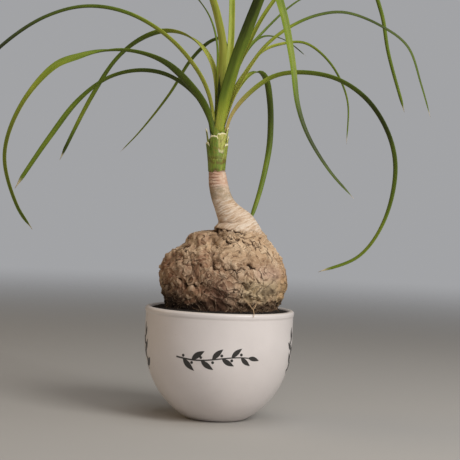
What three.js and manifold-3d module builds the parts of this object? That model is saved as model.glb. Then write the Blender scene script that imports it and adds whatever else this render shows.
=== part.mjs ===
// A young ponytail palm in a round-bottomed ceramic pot: a lumpy, corky caudex that narrows into a
// bent trunk, a green neck of clasping leaf bases, and a loose fountain of long strap leaves.
// Millimetres, +Z up. The origin is the middle of the pot's foot, and -Y is the pot's front.

import * as THREE from "three";
import { mergeVertices } from "three/addons/utils/BufferGeometryUtils.js";
import Module from "manifold-3d";

const wasm = await Module();
wasm.setup();

// Driving dimensions of the pot
const POT_RADIUS = 59.3;
const POT_HEIGHT = 89;
const POT_FOOT_RADIUS = 22.4;
const POT_WALL = 4.4;
const POT_FLOOR = 5;
const POT_SIDES = 44;
const BOWL_TOP = 63; // the wall is upright above this height
const BOWL_DEPTH = 68.3; // half height of the ellipse that the bowl follows below it
const LIP_HEIGHT = 4.6;
const LIP_PROUD = 0.6;
const LIP_ROUND = 2; // the lip's top is a half ellipse this high
const BOWL_STEPS = 9;
const INSIDE_STEPS = 6;

// Driving dimensions of the soil and of the clearance between pieces that touch
const GAP = 0.3;
const SOIL_TOP = 87.4;
const SOIL_RIPPLE = 0.7;

// Driving dimensions of the plant
const TRUNK_TOP = 199.7;
const STEM_RADIUS = 3.4; // the stem that runs on up inside the leaf bases
const STEM_TOP = 219;
const CROWN_X = -7; // the crown stands this far left of the pot's middle
const NECK_X = -7.3;
const NECK_SIDES = 20;
const NECK_RINGS = 12;
const BODY_SIDES = 44;
const BODY_RINGS = 36;
const BLADE = 0.8; // thickness of a leaf
const LEAF_STEP = 13; // length of one leaf segment
const LEAF_FOOT_SHARE = 0.6; // width of a leaf at its seat, as a share of its full width
const LEAF_END_SHARE = 0.45; // width that a leaf still has near its end
const LEAF_TIP_SHARE = 0.3;
const LEAF_POINT = 12; // length of a leaf's point
const CHANNEL = 0.36; // rise of a leaf's edges over its middle, as a share of its half width

// Colours of the materials
const MATERIALS = {
  glaze: { color: 0xd9d1c6, roughness: 0.42 },
  soil: { color: 0x1d1814, roughness: 0.95 },
  bark: { color: 0x9c7f62, roughness: 0.9 },
  sheath: { color: 0x7c8f3c, roughness: 0.6 },
  leaf: { color: 0x55792c, roughness: 0.5 },
};

// The caudex and trunk as level slices: [height, left edge, right edge, half depth]
const BODY_SLICES = [
  [57, -10, 12, 10],
  [60, -24, 26, 22],
  [67, -35, 37, 32],
  [76, -40, 42, 37],
  [86, -42, 44, 39],
  [94, -43, 45.5, 40],
  [101, -46, 50, 42],
  [109, -48, 52.3, 44],
  [117, -48, 51.3, 44],
  [124, -45.5, 49.2, 42.5],
  [130, -42.2, 46, 40],
  [134.5, -37.5, 43, 37.5],
  [138, -31.5, 40.5, 35],
  [142, -28, 37.6, 32],
  [146, -26.3, 35, 28.5],
  [148.2, -22, 33.7, 25],
  [149.2, -12, 33, 21],
  [151, -7, 31.9, 18.4],
  [153.3, -7.3, 30.5, 16.6],
  [155.7, -5.4, 29.2, 15.2],
  [158.2, -4.1, 27.6, 13.7],
  [162.5, -5.4, 24.4, 11.8],
  [166.5, -6.8, 20.5, 10.2],
  [170, -8, 15, 9.1],
  [174.5, -9.8, 9.2, 8.5],
  [181, -11.6, 5, 8.1],
  [188, -12.9, 2.6, 7.7],
  [195, -13.3, 0.8, 7],
  [TRUNK_TOP, -13.6, -0.4, 6.6],
];

// Swellings and hollows of the caudex: [bearing, height, spread, push]; 0 is right, -90 is the front
const LUMPS = [
  [-138, 140, 11, 3.4],
  [-160, 121, 12, 1.6],
  [-104, 143, 6, -3.4],
  [-98, 113, 15, 2.6],
  [-82, 134, 7, 2.4],
  [-52, 107, 16, 3],
  [-70, 97, 7, -2.4],
  [-28, 131, 10, -1.6],
  [-125, 101, 10, 2.2],
  [40, 115, 15, 3],
  [75, 135, 9, -2.6],
  [105, 119, 14, 3.2],
  [140, 137, 11, 2.4],
  [150, 101, 9, -2],
];

// Thick roots under the caudex: [bearing, spread out, depth reached]
const ROOTS = [
  [15, 38, 34],
  [80, 34, 26],
  [140, 38, 30],
  [205, 37, 36],
  [262, 35, 24],
  [318, 38, 30],
];

// The neck of leaf bases: [height, middle, radius]
const NECK_SLICES = [
  [TRUNK_TOP + GAP, -7, 6.7],
  [204, -7.2, 7],
  [211, -7.5, 7.1],
  [219, -7.4, 7.1],
  [225, -7.1, 6.6],
  [231, CROWN_X, 5.6],
  [239, CROWN_X, 4.4],
  [247, CROWN_X, 3.3],
  [255, CROWN_X, 2.2],
  [261, CROWN_X, 1.2],
];

// Stubs of old leaves that still clasp the neck: [bearing, foot, top, half width in degrees, flare]
const STUBS = [
  [190, 206, 218, 34, 2.4],
  [262, 209, 227, 42, 0.9],
  [318, 205, 229, 36, 0.8],
  [15, 210, 222, 32, 1.8],
  [60, 204, 216, 44, 1.4],
  [120, 208, 225, 40, 1.5],
  [228, 202, 210, 44, 0.7],
  [352, 203, 213, 34, 0.9],
];

// Leaves. Bearing of the leaf's upright plane, its seat [bearing, height] on the crown, its middle
// line as [reach, height, sideways] from the crown, its width, and its turn at even shares of it.
// thin is the share of its width near its end where it isn't the usual one.
const LEAVES = [
  {
    name: "leaf_front_broad",
    bearing: -62,
    seat: [-68, 229],
    path: [
      [7.7, 248], [13.5, 263], [26, 286], [38, 303], [60, 329, -1], [84, 347, -5], [104, 324, -9],
      [110, 309, -7], [119, 276, -4], [125, 247, -2], [133, 225, 3], [144, 200, 16], [156, 181, 30],
    ],
    width: 11.5,
    thin: 0.2,
    turn: [0, -10, 0, -8, 0],
  },
  {
    name: "leaf_left_curl",
    bearing: 186,
    seat: [222, 227],
    path: [
      [11.5, 248], [27, 268], [45, 282.5], [67, 290], [91, 290.5], [113, 284.5], [132, 276],
      [158, 242], [168.5, 204], [158, 166], [145, 146],
    ],
    width: 9,
    turn: [40, 36, 8, -56, -36, -34, -36],
  },
  {
    name: "leaf_right_curl",
    bearing: -14,
    seat: [-10, 227],
    path: [
      [11, 244], [25, 261.5], [44, 275], [65, 278.5], [94, 274], [119, 258],
      [137, 231], [143, 204], [136, 165], [118, 137], [86, 122],
    ],
    width: 7.5,
    turn: [-10, -18, -28, -42, -50, -40, -38],
  },
  {
    name: "leaf_young",
    bearing: 262,
    seat: [258, 238],
    path: [[7.2, 253], [7.6, 265], [6.8, 276]],
    width: 4,
    turn: [0, 0, 0, 0],
  },
  {
    name: "leaf_left_high",
    bearing: 200,
    seat: [203, 231],
    path: [
      [8, 253], [18.5, 275], [44, 301], [78, 318], [112, 321],
      [145, 310], [179, 284], [206, 250], [222, 212],
    ],
    width: 6,
    turn: [10, 18, 28, 46, 52],
  },
  {
    name: "leaf_left_spotted",
    bearing: 148,
    seat: [150, 240],
    path: [
      [4, 265], [8.5, 283], [19, 298], [34, 308], [57, 312],
      [80, 306], [104, 290], [129, 258], [161, 204],
    ],
    width: 7.5,
    turn: [-6, -6, 28, 6, 18, 14],
  },
  {
    name: "leaf_left_low",
    bearing: 166,
    seat: [172, 227],
    path: [[11, 246], [27, 264], [47, 275], [70, 277.5], [95, 271], [120, 252], [144, 221], [173, 178]],
    width: 8,
    turn: [40, 26, 12, 42, 40],
  },
  {
    name: "leaf_right_high",
    bearing: 8,
    seat: [8, 235],
    path: [
      [11.5, 258], [23, 282], [36, 301], [54, 316.5], [77, 328],
      [100, 331.5], [131, 322], [153, 307], [166, 276], [175, 250],
    ],
    width: 6.5,
    turn: [10, 22, 28, 40, 58, 60],
  },
  {
    name: "leaf_right_short",
    bearing: 52,
    seat: [46, 233],
    path: [
      [17, 259], [35, 277], [50, 283], [60, 278.5], [67, 261],
      [70, 237], [69, 218], [60, 187], [46, 157],
    ],
    width: 7.5,
    turn: [0, 0, -8, -36, -20],
  },
  {
    name: "leaf_front_up",
    bearing: 250,
    seat: [246, 243],
    path: [
      [4.5, 275, 2], [9, 299, 3.5], [20, 321, 2], [33, 339],
      [52, 363], [80, 377], [110, 365], [132, 337],
    ],
    width: 7.5,
    turn: [0, 0, 0, 20],
  },
  {
    name: "leaf_upright",
    bearing: 90,
    seat: [40, 247],
    path: [
      [3, 284, -6], [5, 302, -7], [9, 320, -7], [13, 338, -6.5],
      [28, 377, -4], [52, 401], [84, 399, 4],
    ],
    width: 6,
    turn: [0, 0, 10, 30],
  },
  {
    name: "leaf_back_arching",
    bearing: 26,
    seat: [18, 248],
    path: [
      [8, 267], [16, 284], [33, 320], [46, 340], [68, 368],
      [100, 381], [130, 371], [148, 340], [157, 306], [176, 257],
    ],
    width: 6,
    turn: [10, 16, -28, -30],
  },
  {
    name: "leaf_back_right",
    bearing: 40,
    seat: [30, 242],
    path: [[20, 274], [44, 299], [66, 307.5], [90, 310.5], [111, 303], [130, 288], [144, 265], [145, 228]],
    width: 4.5,
    turn: [0, -52, -14, -8],
  },
  {
    name: "leaf_back_left",
    bearing: 125,
    seat: [95, 233],
    path: [
      [5, 267, -4], [5.5, 297, -8], [8, 306.5, -6], [15, 305, -2], [22, 302],
      [46, 289], [74, 264], [119, 233], [153, 214],
    ],
    width: 4.5,
    turn: [0, 20, 14, 8],
  },
  {
    name: "leaf_thin_back",
    bearing: 62,
    seat: [64, 240],
    path: [[18, 272], [49, 304], [72, 315], [105, 318], [130, 315], [160, 308]],
    width: 3.4,
    turn: [0, 20, 20, 20],
  },
  {
    name: "leaf_thin_right",
    bearing: 56,
    seat: [84, 247],
    path: [[20, 287], [54, 313], [99, 343], [125, 355], [150, 359]],
    width: 3.2,
    turn: [0, 20, 20, 20],
  },
  {
    name: "leaf_thin_left",
    bearing: 138,
    seat: [138, 247],
    path: [[4, 277], [6, 302], [14, 322], [28, 338], [52, 355], [84, 361], [112, 355]],
    width: 3.6,
    turn: [0, 20, 40, 40],
  },
];

const radians = THREE.MathUtils.degToRad;
const closedMesh = (position, index) =>
  new wasm.Mesh({
    numProp: 3,
    vertProperties: new Float32Array(position),
    triVerts: new Uint32Array(index),
  });

// A closed geometry with its shared corners merged and its empty triangles left out.
function merged(geometry) {
  const bare = new THREE.BufferGeometry().setAttribute("position", geometry.getAttribute("position"));
  bare.setIndex(geometry.getIndex());
  const whole = mergeVertices(bare, 1e-4);
  const kept = [];
  const index = whole.getIndex().array;
  for (let i = 0; i < index.length; i += 3) {
    const [a, b, c] = index.subarray(i, i + 3);
    if (a !== b && b !== c && c !== a) kept.push(a, b, c);
  }
  return whole.setIndex(kept);
}

// The solid that a closed geometry bounds.
function solid(geometry) {
  const whole = merged(geometry);
  return new wasm.Manifold(closedMesh(whole.getAttribute("position").array, whole.getIndex().array));
}

// The same geometry with every corner moved out along its normal.
function grown(geometry, by) {
  const whole = merged(geometry);
  whole.computeVertexNormals();
  const place = whole.getAttribute("position");
  const normal = whole.getAttribute("normal");
  for (let i = 0; i < place.count; i++) {
    place.setXYZ(
      i,
      place.getX(i) + by * normal.getX(i),
      place.getY(i) + by * normal.getY(i),
      place.getZ(i) + by * normal.getZ(i),
    );
  }
  return whole;
}

// The largest body of a solid: scraps that a cut leaves loose are dropped.
function largest(made) {
  const bodies = made.decompose();
  return bodies.reduce((best, body) => (body.volume() > best.volume() ? body : best));
}

// A named mesh of a solid, in one of the part's materials.
function node(name, material, made) {
  const { vertProperties, triVerts } = made.getMesh();
  const geometry = new THREE.BufferGeometry();
  geometry.setAttribute("position", new THREE.BufferAttribute(new Float32Array(vertProperties), 3));
  geometry.setIndex(new THREE.BufferAttribute(new Uint32Array(triVerts), 1));
  geometry.computeVertexNormals();
  const finish = new THREE.MeshStandardMaterial({ metalness: 0, ...MATERIALS[material] });
  const mesh = new THREE.Mesh(geometry, finish);
  mesh.name = name;
  return mesh;
}

// A skin over rings of points that run anticlockwise about the way they advance. Each end is closed by
// a fan, or by the triangles in ends. The sides in flipped split along their other diagonal.
function loft(rings, ends = null, flipped = []) {
  const position = [];
  const index = [];
  const count = rings[0].length;
  const at = (ring, k) => ring * count + (k % count);
  rings.forEach((ring) => ring.forEach((p) => position.push(p.x, p.y, p.z)));
  for (let j = 0; j + 1 < rings.length; j++) {
    for (let k = 0; k < count; k++) {
      const [a, b, c, d] = [at(j, k), at(j, k + 1), at(j + 1, k + 1), at(j + 1, k)];
      if (flipped.includes(k)) index.push(a, b, d, b, c, d);
      else index.push(a, b, c, a, c, d);
    }
  }
  const last = rings.length - 1;
  if (ends) {
    ends.forEach(([a, b, c]) => {
      index.push(at(0, a), at(0, c), at(0, b));
      index.push(at(last, a), at(last, b), at(last, c));
    });
  } else {
    [0, last].forEach((j) => {
      const middle = rings[j].reduce((sum, p) => sum.add(p), new THREE.Vector3()).divideScalar(count);
      const centre = position.length / 3;
      position.push(middle.x, middle.y, middle.z);
      for (let k = 0; k < count; k++) {
        const edge = j ? [at(j, k), at(j, k + 1)] : [at(j, k + 1), at(j, k)];
        index.push(centre, ...edge);
      }
    });
  }
  const geometry = new THREE.BufferGeometry();
  geometry.setAttribute("position", new THREE.Float32BufferAttribute(position, 3));
  return geometry.setIndex(index);
}

// A level ring: half widths a and b about (x, y) at height z.
function levelRing(x, y, z, a, b, sides) {
  return Array.from({ length: sides }, (_, k) => {
    const angle = (2 * Math.PI * k) / sides;
    return new THREE.Vector3(x + a * Math.cos(angle), y + b * Math.sin(angle), z);
  });
}

// The ellipse that the pot's bowl follows, from one radius out to the upright wall.
function bowlCurve(from, radius, depth, steps) {
  const first = Math.asin(from / radius);
  return Array.from({ length: steps + 1 }, (_, i) => {
    const angle = first + ((Math.PI / 2 - first) * i) / steps;
    return new THREE.Vector2(radius * Math.sin(angle), BOWL_TOP - depth * Math.cos(angle));
  });
}

// The inside of the pot, or a surface that stays clear of it by the given gap.
function potInside(clear) {
  const radius = POT_RADIUS - POT_WALL - clear;
  const depth = BOWL_TOP - POT_FLOOR - clear;
  return bowlCurve(0, radius, depth, INSIDE_STEPS);
}

// The pot's outline, spun about its axis: flat foot, bowl, upright wall, lip and inside.
function pot() {
  const lipFoot = POT_HEIGHT - LIP_HEIGHT;
  const lipRadius = POT_RADIUS + LIP_PROUD;
  const lipHalf = (LIP_PROUD + POT_WALL) / 2;
  const lipSteps = 6;
  const lip = Array.from({ length: lipSteps + 1 }, (_, i) => {
    const angle = (Math.PI * i) / lipSteps;
    const height = POT_HEIGHT - LIP_ROUND + LIP_ROUND * Math.sin(angle);
    return new THREE.Vector2(lipRadius - lipHalf + lipHalf * Math.cos(angle), height);
  });
  const profile = [
    new THREE.Vector2(0, 0),
    new THREE.Vector2(POT_FOOT_RADIUS, 0),
    ...bowlCurve(POT_FOOT_RADIUS + 1.6, POT_RADIUS, BOWL_DEPTH, BOWL_STEPS),
    new THREE.Vector2(POT_RADIUS, lipFoot),
    new THREE.Vector2(lipRadius, lipFoot + LIP_PROUD),
    ...lip,
    ...potInside(0).reverse(),
  ];
  return solid(new THREE.LatheGeometry(profile, POT_SIDES).rotateX(Math.PI / 2));
}

// Slow swells of the caudex's bark, in millimetres, which fade out up the trunk.
function barkRelief(p) {
  const coarse = Math.sin(0.23 * p.x + 1.1) * Math.sin(0.27 * p.y + 0.6) * Math.sin(0.25 * p.z);
  const fine = Math.sin(0.61 * p.x + 0.35 * p.z) * Math.sin(0.57 * p.y - 0.3 * p.z + 2);
  const bark = 1 - THREE.MathUtils.smoothstep(p.z, 143, 161);
  return bark * (1.5 * coarse + 0.8 * fine);
}

// How far the named swellings push the skin out at a point.
function lumpAt(p, middle) {
  return LUMPS.reduce((sum, [bearing, height, spread, push]) => {
    const reach = 40 - 0.16 * Math.max(0, height - 122);
    const x = middle + reach * Math.cos(radians(bearing));
    const y = reach * Math.sin(radians(bearing));
    const far = Math.hypot(p.x - x, p.y - y, p.z - height);
    return sum + push * Math.exp(-((far / spread) ** 2));
  }, 0);
}

// The skin of the caudex and trunk: level rings between the two edges, pushed out by the relief.
function bodyShape() {
  const edge = (side) =>
    new THREE.CatmullRomCurve3(
      BODY_SLICES.map((slice) => new THREE.Vector3(slice[side], slice[3], slice[0])),
      false,
      "catmullrom",
      0.5,
    );
  const [left, right] = [edge(1), edge(2)];
  const rings = Array.from({ length: BODY_RINGS + 1 }, (_, i) => {
    const a = left.getPoint(i / BODY_RINGS);
    const b = right.getPoint(i / BODY_RINGS);
    const middle = (a.x + b.x) / 2;
    const ring = levelRing(middle, 0, a.z, (b.x - a.x) / 2, a.y, BODY_SIDES);
    const fade = i === 0 || i === BODY_RINGS ? 0 : 1;
    ring.forEach((p) => {
      const out = new THREE.Vector3(p.x - middle, p.y, 0).normalize();
      p.addScaledVector(out, fade * (barkRelief(p) + lumpAt(p, 2)));
    });
    return ring;
  });
  return loft(rings);
}

// One thick root, from inside the caudex's foot down and out into the soil.
function rootShape([bearing, spread, depth]) {
  const out = new THREE.Vector3(Math.cos(radians(bearing)), Math.sin(radians(bearing)), 0);
  const places = [
    [14, 69, 6],
    [0.62 * spread, 57, 4.4],
    [0.9 * spread, 43, 2.8],
    [spread, depth, 1.2],
  ];
  return loft(
    places
      .map(([reach, height, radius]) => levelRing(out.x * reach, out.y * reach, height, radius, radius, 8))
      .reverse(),
  );
}

// The stem that the leaf bases clasp. It starts inside the trunk's top.
function stemShape() {
  const height = STEM_TOP - TRUNK_TOP + 4;
  const stem = new THREE.CylinderGeometry(STEM_RADIUS, STEM_RADIUS, height, 16).rotateX(Math.PI / 2);
  return stem.translate(CROWN_X, 0, STEM_TOP - height / 2);
}

// The caudex, trunk, roots and stem: one grown piece.
function plantBody(grow) {
  const shapes = [bodyShape(), stemShape(), ...ROOTS.map(rootShape)];
  return wasm.Manifold.union(shapes.map((shape) => solid(grow ? grown(shape, grow) : shape)));
}

// Potting soil, which fills the pot to just under its lip.
function soil() {
  const wall = potInside(GAP).slice(1);
  const rim = POT_RADIUS - POT_WALL - GAP;
  const rings = wall.map((p) => levelRing(0, 0, p.y, p.x, p.x, POT_SIDES));
  rings.push(levelRing(0, 0, SOIL_TOP - 1, rim, rim, POT_SIDES));
  [rim - 1.5, rim - 7, rim - 14].forEach((radius) => {
    const ring = levelRing(0, 0, SOIL_TOP, radius, radius, POT_SIDES);
    ring.forEach((p) => {
      p.z += SOIL_RIPPLE * Math.sin(0.55 * p.x + 1) * Math.cos(0.48 * p.y);
    });
    rings.push(ring);
  });
  return largest(solid(loft(rings)).subtract(plantBody(GAP)));
}

// Level rings up the neck.
function neckRings() {
  const curve = new THREE.CatmullRomCurve3(
    NECK_SLICES.map(([height, middle, radius]) => new THREE.Vector3(middle, radius, height)),
    false,
    "catmullrom",
    0.5,
  );
  return Array.from({ length: NECK_RINGS + 1 }, (_, i) => {
    const p = curve.getPoint(i / NECK_RINGS);
    return levelRing(p.x, 0, p.z, p.y, p.y, NECK_SIDES);
  });
}

function neckRadius(height) {
  const above = Math.max(1, NECK_SLICES.findIndex((slice) => slice[0] >= height));
  const [low, , lowRadius] = NECK_SLICES[above - 1];
  const [high, , highRadius] = NECK_SLICES[above];
  return THREE.MathUtils.mapLinear(height, low, high, lowRadius, highRadius);
}

// One old leaf base, cut off short: a curved scale that stands out of the neck, with a ragged top.
function stubShape([bearing, foot, top, halfWidth, flare]) {
  const across = 4;
  const levels = [0, 0.6, 1];
  const rings = levels.map((share) => {
    const outward = neckRadius(foot) - 0.9 + (1.3 + flare * share) * Math.sqrt(share);
    const side = (radius, k, ragged) => {
      const angle = radians(bearing + halfWidth * (1 - 0.25 * share) * ((2 * k) / across - 1));
      const height = foot + (top - foot) * share + ragged * share * Math.sin(5 * k + bearing);
      return new THREE.Vector3(NECK_X + radius * Math.cos(angle), radius * Math.sin(angle), height);
    };
    const outer = Array.from({ length: across + 1 }, (_, k) => side(outward + 0.9, k, 0.5));
    const inner = Array.from({ length: across + 1 }, (_, k) => side(outward, across - k, 0.5));
    return [...outer, ...inner];
  });
  const ends = [];
  for (let k = 0; k < across; k++) {
    const other = 2 * across + 1 - k;
    ends.push([k, k + 1, other], [k + 1, other - 1, other]);
  }
  return loft(rings, ends);
}

// Where a leaf's middle line runs: out of its seat in the crown, then along its path.
function leafCurve({ bearing, seat, path }) {
  const onBearing = (angle, reach, height, sideways = 0) =>
    new THREE.Vector3(
      CROWN_X + reach * Math.cos(radians(angle)) - sideways * Math.sin(radians(angle)),
      reach * Math.sin(radians(angle)) + sideways * Math.cos(radians(angle)),
      height,
    );
  const [seatBearing, seatHeight] = seat;
  const start = onBearing(seatBearing, neckRadius(seatHeight) - 0.5, seatHeight);
  return new THREE.CatmullRomCurve3([start, ...path.map((p) => onBearing(bearing, ...p))]);
}

// A leaf narrows a little into its seat, thins slowly along its length and ends in a short point.
function widthShare(u, length, thin = LEAF_END_SHARE) {
  const { lerp, smoothstep } = THREE.MathUtils;
  const foot = lerp(LEAF_FOOT_SHARE, 1, smoothstep(u * length, 4, 34));
  const point = lerp(LEAF_TIP_SHARE, 1, smoothstep((1 - u) * length, 0, LEAF_POINT));
  return foot * lerp(1, thin, u ** 1.2) * point;
}

// How far the blade is turned about its own middle line, eased between the given values.
function turnAt(turn, u) {
  const place = u * (turn.length - 1);
  const i = Math.min(turn.length - 2, Math.floor(place));
  const share = THREE.MathUtils.smoothstep(place - i, 0, 1);
  return radians(THREE.MathUtils.lerp(turn[i], turn[i + 1], share));
}

// A blade with a shallow channel along its upper side.
function leafShape(leaf) {
  const curve = leafCurve(leaf);
  const length = curve.getLength();
  const steps = Math.max(4, Math.round(length / LEAF_STEP));
  const angle = radians(leaf.bearing);
  const level = new THREE.Vector3(-Math.sin(angle), Math.cos(angle), 0);
  const rings = Array.from({ length: steps + 1 }, (_, i) => {
    const u = i / steps;
    const along = curve.getTangentAt(u);
    const across = level.clone().addScaledVector(along, -level.dot(along)).normalize();
    across.applyAxisAngle(along, turnAt(leaf.turn, u));
    const up = new THREE.Vector3().crossVectors(along, across);
    const half = (leaf.width * widthShare(u, length, leaf.thin)) / 2;
    const channel = CHANNEL * half;
    const middle = curve.getPointAt(u);
    return [
      [half, channel],
      [0, 0],
      [-half, channel],
      [-half, channel - BLADE],
      [0, -BLADE],
      [half, channel - BLADE],
    ].map(([w, h]) => middle.clone().addScaledVector(across, w).addScaledVector(up, h));
  });
  const ends = [
    [0, 1, 5],
    [1, 4, 5],
    [1, 2, 4],
    [2, 3, 4],
  ];
  return loft(rings, ends, [3, 4]);
}

const leafShapes = LEAVES.map(leafShape);

// The neck has a bore for the stem and a slot for the foot of each leaf.
function neck() {
  const shapes = [loft(neckRings()), ...STUBS.map(stubShape)];
  const sheath = wasm.Manifold.union(shapes.map(solid));
  const cuts = [stemShape(), ...leafShapes].map((shape) => solid(grown(shape, GAP)));
  return largest(sheath.subtract(wasm.Manifold.union(cuts)));
}

// Each leaf gives way to the leaves before it where they press together in the crown.
function leaves() {
  return LEAVES.map((leaf, i) => {
    const before = leafShapes.slice(0, i).map((shape) => solid(grown(shape, GAP)));
    const blade = solid(leafShapes[i]);
    if (!before.length) return node(leaf.name, "leaf", blade);
    return node(leaf.name, "leaf", largest(blade.subtract(wasm.Manifold.union(before))));
  });
}

const palm = new THREE.Group();
palm.add(
  node("pot", "glaze", pot()),
  node("soil", "soil", soil()),
  node("caudex_and_trunk", "bark", plantBody(0)),
  node("leaf_base_neck", "sheath", neck()),
  ...leaves(),
);

export default palm;
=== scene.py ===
"""A young ponytail palm in a round-bottomed pot: its fine skin, leaves and finishes.

+Z is up, the origin is the middle of the pot's foot, and -Y is the pot's front. Sizes and places are
millimetres unless a comment says otherwise, and MM turns them to metres.
"""

import functools
import math

import bmesh
import bpy
import numpy as np
from mathutils import Matrix, Vector


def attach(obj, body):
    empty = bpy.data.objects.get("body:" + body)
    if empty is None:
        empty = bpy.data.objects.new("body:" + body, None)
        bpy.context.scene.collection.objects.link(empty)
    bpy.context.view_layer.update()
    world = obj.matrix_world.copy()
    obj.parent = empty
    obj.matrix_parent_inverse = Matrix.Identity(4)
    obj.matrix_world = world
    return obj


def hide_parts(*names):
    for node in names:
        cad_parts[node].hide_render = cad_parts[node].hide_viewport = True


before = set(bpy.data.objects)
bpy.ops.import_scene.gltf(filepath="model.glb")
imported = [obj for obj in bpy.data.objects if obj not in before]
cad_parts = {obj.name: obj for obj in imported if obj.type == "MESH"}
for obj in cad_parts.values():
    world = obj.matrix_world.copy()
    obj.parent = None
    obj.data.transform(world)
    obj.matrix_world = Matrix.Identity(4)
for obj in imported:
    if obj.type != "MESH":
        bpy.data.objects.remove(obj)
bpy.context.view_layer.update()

MM = 0.001

# The camera stands in front of the pot, a little above its soil, and leans a little
PICTURE_PIXELS = 460
FOCAL_PIXELS = 1420
CAMERA_BACK = 1142.5
CAMERA_HEIGHT = 179
CAMERA_YAW = math.atan(6.9 / FOCAL_PIXELS)  # radians to the right
CAMERA_DIP = math.radians(1.36)
CAMERA_ROLL = math.radians(2.4)

# Soft lamps: name, place in metres, size in metres, watts, colour
LAMPS = [
    ("key", (0.95, -0.95, 0.95), 0.7, 17, "fffdf8"),
    ("front", (0.3, -1.4, 0.8), 0.7, 4.5, "fff4ee"),
    ("left", (-1.4, 0.2, 0.6), 1.0, 4, "ffdfae"),
    ("top", (0.2, -0.1, 1.4), 0.8, 4, "ffffff"),
]
LAMP_AIM = (0, 0, 0.17)  # metres
ROOM_COLOUR = "c9cacd"
ROOM_GLOW = 0.16  # strength of the room's light on the plant
ROOM_PALE = 0.62  # and of the room as it is seen
FLOOR_COLOUR = "b2afab"
FLOOR_REACH = 5000
FLOOR_FADE = (0.6, 2.2)  # metres from the pot where the floor starts to fade, and where it has gone

EASED = {"interpolation_type": "SMOOTHSTEP"}  # how a Map Range eases from one value to the other
HALVES = (0.5, 0.5, 0.5)  # the middle value of a pattern's colour

# Driving dimensions of the pot
POT_RADIUS = 59.3
POT_HEIGHT = 89
POT_SIDES = 144
POT_FOOT_RADIUS = 22.4
FOOT_RING = 19  # inner radius of the ring that the pot stands on
FOOT_HOLLOW = 0.6  # and how far its base is hollow inside that ring
POT_WALL = 4.4
POT_FLOOR = 5
BOWL_TOP = 63  # the wall is upright above this height
BOWL_DEPTH = 68.3  # half height of the ellipse that the bowl follows below it
LIP_HEIGHT = 4.6
LIP_PROUD = 0.6
LIP_ROUND = 2
SOIL_TOP = 87.4

# Printed sprigs: [bearing, height, length, leaf, leaves, whether it stands upright]
SPRIGS = [
    (-90, 54, 68, 13, 7, False),
    (90, 54, 68, 13, 7, False),
    (-167, 58, 38, 12, 5, True),
    (-13, 58, 38, 12, 5, True),
]
SPRIG_WAVE = 1.6
SPRIG_STATIONS = 40
FIRST_LEAF = 4  # station of the stem where its first leaf grows
LEAF_SPAN = 31  # stations from the first leaf to the last
SPRIG_LEAN = math.radians(46)  # of a leaf from the stem
SPRIG_CURL = 0.3  # radians that a leaf turns back on its way
BERRY = 1.1  # radius of a berry
BERRY_GAP = 2.2  # from the stem to a berry's middle
PRINT_PROUD = 0.1
PRINT_SUNK = 0.15

# Driving dimensions of the plant
TRUNK_TOP = 199.7
STEM_RADIUS = 3.4
STEM_TOP = 219
CROWN_X = -7
NECK_X = -7.3
BLADE = 0.55  # thickness of a leaf along its middle
LEAF_STEP = 4  # from one station of a leaf to the next
LEAF_LEAST_STEPS = 14
LEAF_STRANDS = 11  # lines of points across a leaf, on each of its two sides
LEAF_FIELDS = ("across", "along", "tone", "blush", "dry")  # what a leaf's mesh keeps for its colours
CHANNEL = 0.36  # rise of a leaf's edges over its middle, as a share of its half width
LEAF_FOOT_SHARE = 0.72  # width of a leaf at its seat, as a share of its full width
LEAF_END_SHARE = 0.45  # width that a leaf still has near its end
LEAF_TIP_SHARE = 0.08
LEAF_POINT = 12  # length of a leaf's point
LEAF_CLASP = 0.5  # extra rise of a leaf's edges where it clasps the neck
EDGE_LOSS = 0.65  # share of a leaf's thickness that its edges lack
FULL_HALF = 1.2  # a leaf is thinner where its half width is less than this

# Where a change begins and ends, as a distance along a leaf from its seat
WIDENS = (4, 34)
LETS_GO = (3, 22)
BLUSH_FADES = (62, 10)
FOLD_SHADE_STARTS = (12, 40)
FOLD_SHADE_FADES = (150, 105)

SKIN_LOW = 80  # the bark is made fine from here up, and plain under the soil
SKIN_RINGS = 200
SKIN_SIDES = 260
HIDDEN_TOP = 84
BARK_VOXEL = 0.54
BARK_TRIANGLES = 192000  # the bark is thinned to this count where it is smooth

# How the corky bark is broken up
BARK = {
    "Fold Size": 7.0, "Fold Height": 1.2, "Curl Size": 3.2, "Curl Height": 0.3, "Layer Size": 15.0,
    "Layer Count": 12.0, "Layer Height": 1.0, "Plate Size": 8.0, "Plate Tilt": 0.3, "Flake Size": 2.8,
    "Flake Tilt": 0.15, "Crack Width": 0.5, "Crack Depth": 0.9, "Pit Spacing": 8.0, "Pit Depth": 1.5,
    "Ring Pitch": 1.1, "Ring Height": 0.2, "Seed": 3.0,
}

# The caudex and trunk as level slices: [height, left edge, right edge, half depth]
BODY_SLICES = [
    [57, -10, 12, 10], [60, -24, 26, 22], [67, -35, 37, 32], [76, -40, 42, 37], [86, -42, 44, 39],
    [94, -43, 45.5, 40], [101, -46, 50, 42], [109, -48, 52.3, 44], [117, -48, 51.3, 44],
    [124, -45.5, 49.2, 42.5], [130, -42.2, 46, 40], [134.5, -37.5, 43, 37.5], [138, -31.5, 40.5, 35],
    [142, -28, 37.6, 32], [146, -26.3, 35, 28.5], [148.2, -22, 33.7, 25], [149.2, -12, 33, 21],
    [151, -7, 31.9, 18.4], [153.3, -7.3, 30.5, 16.6], [155.7, -5.4, 29.2, 15.2],
    [158.2, -4.1, 27.6, 13.7], [162.5, -5.4, 24.4, 11.8], [166.5, -6.8, 20.5, 10.2], [170, -8, 15, 9.1],
    [174.5, -9.8, 9.2, 8.5], [181, -11.6, 5, 8.1], [188, -12.9, 2.6, 7.7], [195, -13.3, 0.8, 7],
    [TRUNK_TOP, -13.6, -0.4, 6.6],
]

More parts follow.
